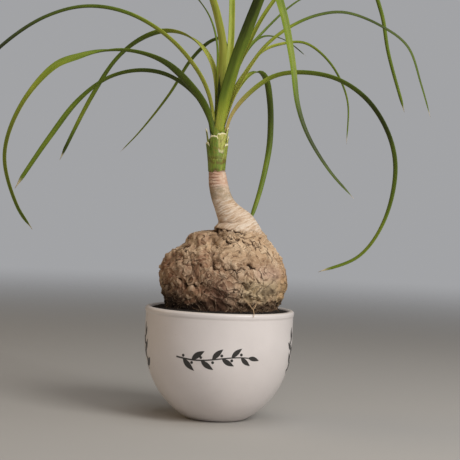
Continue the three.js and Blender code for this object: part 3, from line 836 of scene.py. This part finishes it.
def sprig_strips(length, leaf, count):
    """A wavy sprig about (0, 0) that grows to the right: its stem, leaves and berries as flat strips.
    A strip is a list of stations: middle across, middle up, half width, and the way that it runs."""
    stem = []
    for x in np.linspace(-length / 2, length / 2 - 0.75 * leaf, SPRIG_STATIONS):
        wave = 2 * math.pi * x / length
        slope = math.atan(SPRIG_WAVE * 2 * math.pi / length * math.cos(wave))
        stem.append((x, SPRIG_WAVE * math.sin(wave), 0.5 - 0.25 * x / length, slope))
    strips = [stem]
    for i in range(count + 1):
        last = i == count
        x, up, _, slope = stem[-1] if last else stem[FIRST_LEAF + round(i * LEAF_SPAN / (count - 1))]
        side = 1 if i % 2 else -1
        if not last:
            middle, level = x + BERRY_GAP * side * math.sin(slope), up - BERRY_GAP * side
            turn = [(math.cos(t), math.sin(t)) for t in np.linspace(math.pi, 0, 9)]
            strips.append([(middle + BERRY * c, level, BERRY * s + 0.05, 0) for c, s in turn])
        lean = slope + (0 if last else side * SPRIG_LEAN)
        strips.append(sprig_leaf(x, up, lean, side * SPRIG_CURL, leaf * (1 - 0.25 * i / count)))
    return strips


def on_wall(bearing, height, around, proud):
    """The point so far around the pot's wall from a bearing, and so far proud of it."""
    below = max(0, BOWL_TOP - height) / BOWL_DEPTH
    radius = POT_RADIUS * math.sqrt(1 - below**2) + proud
    return polar(bearing + math.degrees(around / POT_RADIUS), radius, height)


def make_ornament():
    """A plain printed sprig on the front and back of the pot, and an upright one at each side."""
    corners = ((PRINT_PROUD, 1), (PRINT_PROUD, -1), (-PRINT_SUNK, -1), (-PRINT_SUNK, 1))
    shapes = []
    for bearing, height, length, leaf, count, upright in SPRIGS:
        for strip in sprig_strips(length, leaf, count):
            points = []
            for x, up, half, heading in strip:
                step = np.array([-math.sin(heading), math.cos(heading)]) * half
                for proud, side in corners:
                    a, b = np.array([x, up]) + side * step
                    a, b = (-b, a) if upright else (a, b)
                    points.append(on_wall(bearing, height + b, a, proud))
            shapes.append((points, strap_faces(len(strip), len(corners))))
    dress(mesh_object("pot_ornament", mesh_of(*joined(shapes)), rounded=False), decal_ink())


def bark_relief(points):
    """Slow swells of the caudex's bark, in millimetres, which fade out up the trunk."""
    x, y, z = points.T
    coarse = np.sin(0.23 * x + 1.1) * np.sin(0.27 * y + 0.6) * np.sin(0.25 * z)
    fine = np.sin(0.61 * x + 0.35 * z) * np.sin(0.57 * y - 0.3 * z + 2)
    return (1 - smooth(z, 143, 161)) * (1.5 * coarse + 0.8 * fine)


def lump_relief(points):
    """How far the named swellings push the skin out."""
    push = np.zeros(len(points))
    for bearing, height, spread, rise in LUMPS:
        reach = LUMP_REACH - LUMP_LEAN * max(0, height - LUMP_SHOULDER)
        far = np.linalg.norm(points - polar(bearing, reach, height, CAUDEX_X), axis=1)
        push += rise * np.exp(-((far / spread) ** 2))
    return push


def body_rings(low, rings, sides, high=TRUNK_TOP):
    """The skin of the caudex and trunk between two heights, as level rings of points."""
    levels = np.array(BODY_SLICES, float)
    shares = [s for s in np.linspace(0, 1, 1000) if low <= even_curve(levels, s)[0] <= high]
    skin = []
    for share in np.linspace(shares[0], shares[-1], rings):
        height, left, right, depth = even_curve(levels, share)
        middle = (left + right) / 2
        ring = level_ring(height, middle, (right - left) / 2, depth, sides)
        out = unit(ring - [middle, 0, height])
        fade = 0 if share in (0, 1) else 1
        ring += out * (fade * (bark_relief(ring) + lump_relief(ring)))[:, None]
        skin.append(ring)
    return skin


def crease_depth(points, line, width, depth):
    """Depth of one fold at each point: it follows a line across the front of the bark."""
    line = np.array(line, float)
    x, y, z = points.T
    wobble = np.column_stack([np.sin(0.9 * z + 0.5 * x), np.sin(1.1 * x - 0.6 * z)])
    flat = points[:, [0, 2]] + wobble * (0.45 * (1 - smooth(z, 149, 156)))[:, None]
    near = np.full(len(points), np.inf)
    for a, b in zip(line, line[1:]):
        share = np.clip(((flat - a) @ (b - a)) / ((b - a) @ (b - a)), 0, 1)
        near = np.minimum(near, np.linalg.norm(flat - (a + share[:, None] * (b - a)), axis=1))
    uneven = 0.88 + 0.12 * np.sin(0.8 * x + 0.7 * z)
    return np.where(y < 0, depth * uneven * np.exp(-((near / width) ** 2)), 0)


def bark_tree(inputs):
    """Corky bark as relief on a skin: curled folds, thin layers with sharp edges, tilted plates, short
    cracks, flakes and pits, and fine rings where the bark gives way to the smooth trunk."""
    tree, add, given = new_geometry_tree("corky bark", inputs)
    seed = given["Seed"]
    place = add("GeometryNodeInputPosition")
    spot = add("VectorMath SCALE", {0: place, "Scale": 1 / MM})
    across, _, up = add("SeparateXYZ", [spot]).outputs

    # The pattern is bent twice, so that its lines wander and curl
    bent = spot
    for span, reach in ((17, 15), (4, 4)):
        sockets = {"Vector": bent, "W": seed, "Scale": 1 / span, "Detail": 1}
        drift = add("TexNoise", sockets, noise_dimensions="4D").outputs["Color"]
        drift = add("VectorMath SUBTRACT", [drift, HALVES])
        drift = add("VectorMath SCALE", {0: drift, "Scale": reach})
        bent = add("VectorMath ADD", [bent, drift])

    sizes = [key for key in BARK if key.endswith(("Size", "Spacing"))]
    scale = {key: add("Math DIVIDE", [1, given[key]]) for key in sizes}
    folds, curls, slow, where, calm, ragged = [
        add("TexNoise", {"Vector": at, "W": seed, "Scale": rate, "Detail": detail}, noise_dimensions="4D")
        for at, rate, detail in (
            (bent, scale["Fold Size"], 1),
            (bent, scale["Curl Size"], 1),
            (bent, scale["Layer Size"], 1.5),
            (spot, 1 / 12, 2),
            (spot, 1 / 22, 1),
            (spot, 1 / 5, 3),
        )
    ]
    plate, flake, pit = [
        add("TexVoronoi", {"Vector": bent, "W": seed, "Scale": scale[key]}, voronoi_dimensions="4D").outputs
        for key in ("Plate Size", "Flake Size", "Pit Spacing")
    ]

    # Folds stand where a slow pattern crosses its middle value
    relief = 0.0
    for pattern, height in ((folds, given["Fold Height"]), (curls, given["Curl Height"])):
        off = add("Math SUBTRACT", [pattern, 0.5])
        off = add("Math ABSOLUTE", [off])
        fold = add("MapRange", [off, 0.12, 0], **EASED)
        relief = add("Math MULTIPLY_ADD", [fold, height, relief])

    # Thin layers rise slowly and end in an edge
    layers = add("Math MULTIPLY", [slow, given["Layer Count"]])
    layer = add("Math FRACT", [layers])
    layer = add("Math POWER", [layer, 2])
    relief = add("Math MULTIPLY_ADD", [layer, given["Layer Height"], relief])

    # Plates and flakes are cells that tilt, and plates are cracked apart here and there
    for cell, steep in ((plate, given["Plate Tilt"]), (flake, given["Flake Tilt"])):
        lean = add("VectorMath SUBTRACT", [cell["Color"], HALVES])
        off = add("VectorMath SUBTRACT", [bent, cell["Position"]])
        tilt = add("VectorMath DOT_PRODUCT", [off, lean])
        relief = add("Math MULTIPLY_ADD", [tilt, steep, relief])
    sockets = {"Vector": bent, "W": seed, "Scale": scale["Plate Size"]}
    edge = add("TexVoronoi", sockets, voronoi_dimensions="4D", feature="DISTANCE_TO_EDGE")
    edge = add("Math MULTIPLY", [edge, given["Plate Size"]])
    where = add("MapRange", [where, 0.54, 0.66])
    crack = add("MapRange", [edge, given["Crack Width"], 0, 0, where], **EASED)
    pit = add("MapRange", [pit["Distance"], 0.2, 0.1], **EASED)
    relief = add("Math MULTIPLY", [relief, add("MapRange", [calm, 0.4, 0.6, 0.5])])
    gaps = 0.0
    for gap, depth in ((crack, given["Crack Depth"]), (pit, given["Pit Depth"])):
        gaps = add("Math MULTIPLY_ADD", [gap, depth, gaps])
    relief = add("Math SUBTRACT", [relief, gaps])
    # The cracks and pits are kept as dark, which the material paints as shade
    dark = add("Math MAXIMUM", [crack, pit])

    # The bark ends in a ragged edge below the trunk, whose rings lean with its bend
    edge = add("Math MULTIPLY_ADD", [ragged, 14, up])
    edge = add("Math MULTIPLY_ADD", [across, 0.08, edge])
    bark = add("MapRange", [edge, 163, 157], **EASED)
    dark = add("Math MULTIPLY", [dark, bark])
    lean = add("MapRange", [up, 194, 168, 0, -0.5])
    sweep = add("Math MULTIPLY_ADD", [across, lean, up])
    sweep = add("Math MULTIPLY_ADD", [ragged, 4, sweep])
    sweep = add("Math DIVIDE", [sweep, given["Ring Pitch"]])
    ring = add("Math PINGPONG", [sweep, 1])
    even = add("Math MULTIPLY", [add("MapRange", [up, 178, 187, 0.2]), given["Ring Height"]])
    even = add("Math MULTIPLY", [ring, even])
    height = add("Mix", {"Factor": bark, "A": even, "B": relief}, data_type="FLOAT")

    geometry = given["Geometry"]
    # Relief and layers are kept too: the material paints shade in low relief and highlights at layer edges
    # from them
    kept = {"dark": dark, "rise": relief, "bark": bark, "layers": layers, "sweep": sweep}
    kept["plate"] = add("SeparateXYZ", [plate["Color"]]).outputs["X"]
    for name, value in kept.items():
        sockets = {"Geometry": geometry, "Name": name, "Value": value}
        geometry = add("GeometryNodeStoreNamedAttribute", sockets, domain="POINT")
    height = add("Math MULTIPLY", [height, MM])
    push = add("VectorMath SCALE", {0: add("GeometryNodeInputNormal"), "Scale": height})
    end_tree(add, given, add("GeometryNodeSetPosition", {"Geometry": geometry, "Offset": push}))
    return tree


def corky_bark():
    """Dead corky bark on a living caudex: dry, broken tan plates with pits and cracks, browner and damp
    near the soil, and thin smooth tan skin with fine rings on the trunk. Painted shade darkens its pits,
    cracks, creases, hollows, low relief, underside and soil line; its layer edges carry painted
    highlights; and it is painted paler on its top and right, where the lamps fall."""
    attributes = ("rise", "dark", "plate", "bark", "layers", "sweep", "crease")
    # Cork grain is too fine to show, so it is drawn about 1 mm across
    patterns = (("clouds", 17, 5, 0.6), ("patches", 9, 2, 0.5), ("grain", 1.1, 4, 0.7))
    material, add, field = new_material("corky bark", attributes, patterns)
    field["foot"] = add("Math MULTIPLY_ADD", [field["patches"], 0.02, field["up"]])

    # The thin cork layers, about 3 mm apart, are drawn again here, so that their edges stay sharp
    field["layer"] = add("Math FRACT", [field["layers"]])
    # The ramp runs paler where the relief rises and toward each layer's edge, as painted light and shade,
    # and varies by plate and grain
    mixed = field["clouds"]
    for name, share in (("rise", 0.1), ("plate", 0.12), ("layer", 0.12), ("grain", 0.35)):
        mixed = add("Math MULTIPLY_ADD", [field[name], share, mixed])
    stops = [(0.5, "6c4f3b"), (0.68, "a08064"), (0.86, "bfa184"), (1.0, "dcc3a6")]
    cork = stained_and_shaded(add, add("ValToRGB", [mixed], stops), field, BARK_STAINS_AND_SHADE)

    # The trunk's streaks lie along its rings, which sweep gives a count of
    field["ring"] = add("Math PINGPONG", [field["sweep"], 1])
    flat = add("Mapping", {"Vector": field["spot"], "Scale": (each(6.7), each(6.7), 0)})
    wrapped = add("VectorMath ADD", [flat, add("CombineXYZ", {"Z": field["sweep"]})])
    tanned = add("TexNoise", {"Vector": wrapped, "Scale": 0.8, "Detail": 4})
    for name, share in (("ring", 0.08), ("grain", 0.3)):
        tanned = add("Math MULTIPLY_ADD", [field[name], share, tanned])
    skin = add("ValToRGB", [tanned], [(0.5, "bd9e80"), (0.68, "d6bea6"), (0.86, "e8d9c8")])
    skin = stained_and_shaded(add, skin, field, TRUNK_STAINS)
    both = add("Mix", {"Factor": field["bark"], "A": skin, "B": cork}, data_type="RGBA")

    height = add("Math POWER", [field["layer"], 2])
    height = add("Math MULTIPLY_ADD", [field["grain"], 0.5, height])
    height = add("Math MULTIPLY", [height, field["bark"]])
    height = add("Math MULTIPLY_ADD", [tanned, 0.8, height])
    sockets = {"Roughness": 0.86, "Specular IOR Level": 0.3}
    sockets["Base Color"] = stained_and_shaded(add, both, field, CREASE_SHADE)
    sockets["Normal"] = add("Bump", {"Height": height, "Strength": 0.9, "Distance": 0.0011})
    return surfaced(material, add, sockets)


def hidden_parts():
    """What the soil and the leaf bases hide: the foot of the caudex, its roots and its green stem."""
    parts = [capped(body_rings(BODY_SLICES[0][0], 14, 48, HIDDEN_TOP))]
    for bearing, spread, depth in ROOTS:
        bends = [(share * spread, height) for share, height in ROOT_BENDS]
        path = [polar(bearing, *place) for place in (ROOT_START, *bends, (spread, depth))]
        parts.append(tube(path, ROOT_RADII))
    stem = [(CROWN_X, 0, TRUNK_TOP - 4), (CROWN_X, 0, STEM_TOP)]
    return [*parts, tube(stem, [STEM_RADIUS, STEM_RADIUS - 0.4], 24)]


def press_creases(mesh):
    """Presses the named folds into a mesh. Each point keeps how steep they are there as crease, which the
    bark paints as shade.
    """
    points = read_points(mesh, "co") / MM
    fold, shade = np.zeros((2, len(points)))
    for line, width, depth in CREASES:
        deep = crease_depth(points, line, width, depth)
        fold, shade = np.maximum(fold, deep), np.maximum(shade, deep / width)
    points -= read_points(mesh, "normal") * fold[:, None]
    mesh.vertices.foreach_set("co", (points * MM).astype(np.float32).ravel())
    store(mesh, crease=shade)


def make_caudex():
    """The swollen foot, trunk, roots and stem: one grown piece."""
    skin = mesh_of(*capped(body_rings(SKIN_LOW, SKIN_RINGS, SKIN_SIDES)))
    piece = mesh_object("caudex_skin", skin)
    remesh = piece.modifiers.new("even skin", "REMESH")
    remesh.mode = "VOXEL"
    remesh.voxel_size = BARK_VOXEL * MM
    piece = settled(piece)
    press_creases(piece.data)
    material = corky_bark()
    piece = grown_mesh(piece, bark_tree, BARK | {"Material": material})
    thinned = piece.modifiers.new("fewer faces", "DECIMATE")
    thinned.ratio = BARK_TRIANGLES / (2 * len(piece.data.polygons))
    piece = settled(piece)

    hidden = mesh_of(*joined(hidden_parts()))
    hidden.shade_smooth()
    whole = bmesh.new()
    whole.from_mesh(piece.data)
    whole.from_mesh(hidden)
    whole.to_mesh(piece.data)
    whole.free()
    bpy.data.meshes.remove(hidden)
    dress(piece, material, "caudex_and_trunk")


def dry_rootlet():
    """Dead rootlets: thin, dry and fibrous, brown by the soil and straw pale where they hang in the air."""
    material, add, field = new_material("dry rootlet", ["pale"], [("blots", 3.3, 2, 0.5)])
    colour = add("ValToRGB", [field["blots"]], [(0.35, "4a3626"), (0.65, "86684b")])
    colour = stained_and_shaded(add, colour, field, [("d0b08a", 0.85, ("pale", 0, 1))])
    return surfaced(material, add, {"Base Color": colour, "Roughness": 0.8})


def make_rootlets():
    """Thin roots from the foot of the bark: a forked one hangs over the lip, and others dip into soil."""
    strands = [(path, radius, 1.0) for radius, path in HANGING_ROOTLETS]
    rng = np.random.default_rng(11)
    for bearing in np.radians(np.linspace(-150, 180, ROOTLET_COUNT)):
        turn = bearing + rng.uniform(-0.2, 0.2) + rng.uniform(-0.3, 0.3) * np.array([0, 0.3, 0.8, 1])
        reaches = np.array([40, 43, 45, 46.5]) + rng.uniform(0, 3) * np.array([0, 0.3, 0.7, 1])
        heights = (93, 91.2 + rng.uniform(-0.6, 1), 89.6, 86.5)
        path = np.column_stack([1 + reaches * np.cos(turn), reaches * np.sin(turn), heights])
        strands.append((path, ROOTLET_RADIUS, 0.0))
    shapes, pales = [], []
    for path, radius, pale in strands:
        line = dense_line(np.array(path, float), 6)
        shapes.append(tube(line, np.linspace(radius, 0.45 * radius, len(line)), 8))
        pales += [pale] * len(shapes[-1][0])
    mesh = mesh_of(*joined(shapes))
    store(mesh, pale=pales)
    dress(mesh_object("rootlets", mesh), dry_rootlet())


def potting_soil():
    """Damp potting soil of peat and composted bark: very dark, matt and grainy."""
    material, add, field = new_material("damp potting soil", patterns=[("lumps", 2.5, 4, 0.5)])
    colour = add("ValToRGB", [field["lumps"]], [(0.35, "120e0b"), (0.6, "2a211b"), (0.8, "43362b")])
    return surfaced(material, add, {"Base Color": colour, "Roughness": 0.95})


def make_soil(material):
    """The soil under its crumbs, as the part's own solid."""
    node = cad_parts["soil"]
    node.data.materials.clear()
    node.data.materials.append(material)


def crumb_tree(inputs):
    """Crumbs of soil, strewn over a surface that is roughened under them."""
    tree, add, given = new_geometry_tree("soil crumbs", inputs)
    seed = given["Seed"]
    rise = add("TexNoise", {"Scale": each(3.8), "Detail": 3})
    rise = add("Math MULTIPLY_ADD", [rise, 2 * CRUMB_GROUND * MM, -CRUMB_GROUND * MM])
    sockets = {"Geometry": given["Geometry"], "Offset": add("CombineXYZ", {"Z": rise})}
    ground = add("GeometryNodeSetPosition", sockets)
    sockets = {"Mesh": ground, "Density": given["Crumbs Per Square Metre"], "Seed": seed}
    strewn = add("GeometryNodeDistributePointsOnFaces", sockets)
    crumb = add("GeometryNodeMeshIcoSphere", {"Radius": given["Crumb Radius"], "Subdivisions": 1})
    spin, stretch = [
        add("FunctionNodeRandomValue", {"Min": low, "Max": high, "Seed": seed}, data_type="FLOAT_VECTOR")
        for low, high in (((0, 0, 0), (6.28, 6.28, 6.28)), ((0.35, 0.35, 0.3), (1.7, 1.3, 1.0)))
    ]
    sockets = {"Points": strewn, "Instance": crumb, "Rotation": spin, "Scale": stretch}
    placed = add("GeometryNodeInstanceOnPoints", sockets)
    both = add("GeometryNodeJoinGeometry", {"Geometry": placed})
    tree.links.new(ground.outputs["Geometry"], both.inputs["Geometry"])
    end_tree(add, given, both)
    return tree


def make_crumbs(material):
    """A thin closed mat of soil between the caudex and the pot, with crumbs on it."""
    inner = level_ring(0, *MAT_INNER, MAT_SIDES)
    outside = POT_RADIUS - POT_WALL - MAT_GAP
    outer = level_ring(0, 0, outside, outside, MAT_SIDES)
    rings = []
    for share in np.linspace(0, 1, 10):
        rise = MAT_TOP - MAT_DIP * share**4 + MAT_HEAP * (1 - share) ** 3
        rings.append(inner + share * (outer - inner) + [0, 0, rise])
    rings += [ring + [0, 0, MAT_FOOT] for ring in (outer, inner)]
    faces = [face[::-1] for face in skin_faces(len(rings), MAT_SIDES, wrap=True)]
    piece = mesh_object("soil_crumbs", mesh_of(np.concatenate(rings), faces))
    piece = grown_mesh(piece, crumb_tree, CRUMBS | {"Material": material})
    dress(piece, material)


def neck_radius(height):
    heights, _, radii = np.array(NECK_SLICES, float).T
    return float(np.interp(height, heights, radii))


def sheath_green():
    """Living leaf bases: fleshy, ribbed, yellow-green, with corky cream edges where old leaves tore."""
    material, add, field = new_material("clasping leaf base", ["edge", "tone"], [("blots", 3, 3, 0.5)])
    tall = add("Mapping", {"Vector": field["spot"], "Scale": (each(1.1), each(1.1), each(17))})
    ribs = add("TexNoise", {"Vector": tall, "Scale": 1, "Detail": 3})
    scar = add("Math MULTIPLY_ADD", [field["blots"], 0.012, field["up"]])
    field["scar"] = add("Math SUBTRACT", [scar, 0.006])
    mixed = add("Math MULTIPLY_ADD", [ribs, 0.7, field["tone"]])
    stops = [(0.3, "4c5e1a"), (0.6, "748a2f"), (0.9, "a5ab4c"), (1.0, "c4c073")]
    sockets = {"Roughness": 0.5, "Subsurface Weight": 0.15, "Subsurface Radius": (0.6, 1.0, 0.3)}
    sockets["Subsurface Scale"] = MM
    sockets["Base Color"] = stained_and_shaded(add, add("ValToRGB", [mixed], stops), field, SHEATH_STAINS)
    sockets["Normal"] = add("Bump", {"Height": ribs, "Strength": 0.4, "Distance": 0.0005})
    return surfaced(material, add, sockets)


def stub_shape(bearing, foot, top, half_width, flare, torn, seam, rng):
    """One old leaf base as a closed curved scale: points, faces, and how pale each point's edge is."""
    ragged, worn = rng.normal(0, 0.4, (2, STUB_STEPS + 1))
    points, edge = [], []
    for share in np.linspace(0, 1, STUB_LEVELS):
        reach = neck_radius(foot) - 0.9 + (1.3 + flare * share) * math.sqrt(share)
        for side in (0, 1):
            for k in range(STUB_STEPS + 1):
                k = STUB_STEPS - k if side else k
                place = 2 * k / STUB_STEPS - 1
                height = foot + (top - foot) * share * (1 - 0.12 * place**4)
                fray = worn[k] * max(1, half_width / 45)
                height += share**3 * ragged[k] + (1 - share) ** 3 * (fray + 2 * place**2 * seam)
                radius = reach + (0 if side else STUB_THICK * (1 - 0.4 * share) * (1 - place**6))
                angle = bearing + half_width * (1 - 0.25 * share) * place
                points.append(polar(angle, radius, height, NECK_X))
                pale = torn * smooth(share, 0.84, 1) + 0.7 * seam * smooth(share, 0.3, 0.12)
                edge.append(pale * (0.75 + 0.5 * abs(ragged[k])))
    return points, strap_faces(STUB_LEVELS, 2 * (STUB_STEPS + 1)), edge


def make_neck():
    """The stack of clasping leaf bases, with the torn bases of old leaves round it."""
    rng = np.random.default_rng(5)
    levels = np.array(NECK_SLICES, float)
    rings = []
    for share in np.linspace(0, 1, NECK_RINGS):
        height, middle, radius = even_curve(levels, share)
        rings.append(level_ring(height, middle, radius, radius, NECK_SIDES))
    shapes = [capped(rings)]
    count = len(shapes[0][0])
    edge, tones = [0.0] * count, [0.3] * count
    for *sizes, tone, torn, seam in STUBS:
        points, faces, pale = stub_shape(*sizes, torn, seam, rng)
        shapes.append((points, faces))
        edge += pale
        tones += [tone] * len(points)
    mesh = mesh_of(*joined(shapes))
    store(mesh, edge=edge, tone=tones)
    dress(mesh_object("leaf_sheaths", mesh), sheath_green(), "leaf_base_neck")


def leaf_blade():
    """Tough living strap leaf: a waxy, finely ribbed green, dead at the tip."""
    material, add, field = new_material("living strap leaf", LEAF_FIELDS)
    # These are millimetres on the leaf. Its ribs are drawn 0.8 mm wide, a little coarser than they are
    flat = add("CombineXYZ", [field["across"], field["along"]])
    stretched = [add("Mapping", {"Vector": flat, "Scale": s}) for s in ((1.3, 0.02, 1), (0.25, 0.05, 1))]
    ribs, patches = [add("TexNoise", {"Vector": at, "Scale": 1, "Detail": 3}) for at in stretched]
    mixed = add("Math MULTIPLY_ADD", [ribs, 0.25, field["tone"]])
    mixed = add("Math MULTIPLY_ADD", [patches, 0.3, mixed])
    mixed = add("Math SUBTRACT", [mixed, 0.275])
    stops = [(0.0, "1e220c"), (0.3, "414d1a"), (0.6, "697c26"), (0.8, "8f9a33"), (1.0, "c3c35c")]
    stains = [("b39866", 0.7, ("blush", 0, 1)), ("cdbd97", 1.0, ("dry", 0, 1))]
    sockets = {"Roughness": 0.52, "Specular IOR Level": 0.24, "Subsurface Weight": 0.1}
    sockets |= {"Subsurface Radius": (0.5, 1.0, 0.2), "Subsurface Scale": MM}
    sockets["Base Color"] = stained_and_shaded(add, add("ValToRGB", [mixed], stops), field, stains)
    sockets["Normal"] = add("Bump", {"Height": ribs, "Strength": 0.1, "Distance": 0.0002})
    return surfaced(material, add, sockets)


def from_crown(bearing, reach, height, sideways=0):
    """The point so far out and sideways from the crown's middle, on a bearing in degrees."""
    return polar(bearing, reach, height, CROWN_X) + polar(bearing + 90, sideways, 0)


def leaf_frame(leaf):
    """Stations along a leaf: its middle line, the directions across it and up from it, and shares."""
    bearing, (seat_bearing, seat_height) = leaf["bearing"], leaf["seat"]
    start = from_crown(seat_bearing, neck_radius(seat_height) - 0.5, seat_height)
    line = dense_line([start, *[from_crown(bearing, *place) for place in leaf["path"]]])
    far = np.concatenate([[0], np.cumsum(np.linalg.norm(np.diff(line, axis=0), axis=1))])
    length = far[-1]
    shares = np.linspace(0, 1, max(LEAF_LEAST_STEPS, round(length / LEAF_STEP)) + 1)
    middle = np.column_stack([np.interp(shares * length, far, line[:, i]) for i in range(3)])
    along = unit(np.gradient(middle, axis=0))
    level = polar(bearing + 90, 1, 0)
    across = unit(level - along * (along @ level)[:, None])
    turn = np.radians(along_values(leaf["turn"], shares))[:, None]
    turned = across * np.cos(turn) + np.cross(along, across) * np.sin(turn)
    return middle, turned, np.cross(along, turned), shares, length


def blade_halves(leaf, shares, length):
    """Half a leaf's width along it: it widens from its seat, narrows slowly, and ends in a point."""
    far = shares * length
    foot = leaf.get("foot", LEAF_FOOT_SHARE)
    grown = foot + (1 - foot) * smooth(far, *WIDENS)
    thin = 1 - (1 - leaf.get("thin", LEAF_END_SHARE)) * shares**1.2
    point = LEAF_TIP_SHARE + (1 - LEAF_TIP_SHARE) * smooth(length - far, 0, LEAF_POINT)
    return leaf["width"] / 2 * grown * thin * point


def make_leaf(leaf, material):
    """A strap leaf with a shallow channel along its upper side, thin at its edges and its tip."""
    middle, across, up, shares, length = leaf_frame(leaf)
    far, half = shares * length, blade_halves(leaf, shares, length)
    tone = along_values(leaf["tone"], shares)
    blush = leaf.get("blush", 0) * smooth(far, *BLUSH_FADES)
    dry = smooth(far, length - 1.6 * leaf["dry"], length - 0.5 * leaf["dry"])
    # fold is how far one half of the leaf is darkened near its foot: painted shade where it folds
    fold = leaf.get("fold", 0) * smooth(far, *FOLD_SHADE_STARTS) * smooth(far, *FOLD_SHADE_FADES)
    clasp = LEAF_CLASP * (1 - smooth(far, *LETS_GO))
    strands = np.linspace(-1, 1, LEAF_STRANDS)
    points, values = [], []
    for i in range(len(shares)):
        for under in (0, 1):
            for t in strands if under else strands[::-1]:
                rise = half[i] * (CHANNEL * abs(t) ** 1.4 + clasp[i] * t * t)
                thick = BLADE * (1 - EDGE_LOSS * abs(t) ** 3) * min(1, half[i] / FULL_HALF)
                points.append(middle[i] + across[i] * (t * half[i]) + up[i] * (rise - thick * under))
                # The tone takes the fold's painted shade on one half
                shade = tone[i] - fold[i] * smooth(t, 0.2, -0.3)
                values.append((t * half[i], far[i], shade, blush[i], dry[i]))
    mesh = mesh_of(points, strap_faces(len(shares), 2 * LEAF_STRANDS))
    store(mesh, **dict(zip(LEAF_FIELDS, np.transpose(values))))
    dress(mesh_object("blade_" + leaf["name"], mesh), material, "leaf_" + leaf["name"])


def make_leaves():
    material = leaf_blade()
    for leaf in LEAVES:
        make_leaf(leaf, material)


make_camera()
make_studio()
make_pot()
make_ornament()
soil = potting_soil()
make_soil(soil)
make_crumbs(soil)
make_caudex()
make_rootlets()
make_neck()
make_leaves()
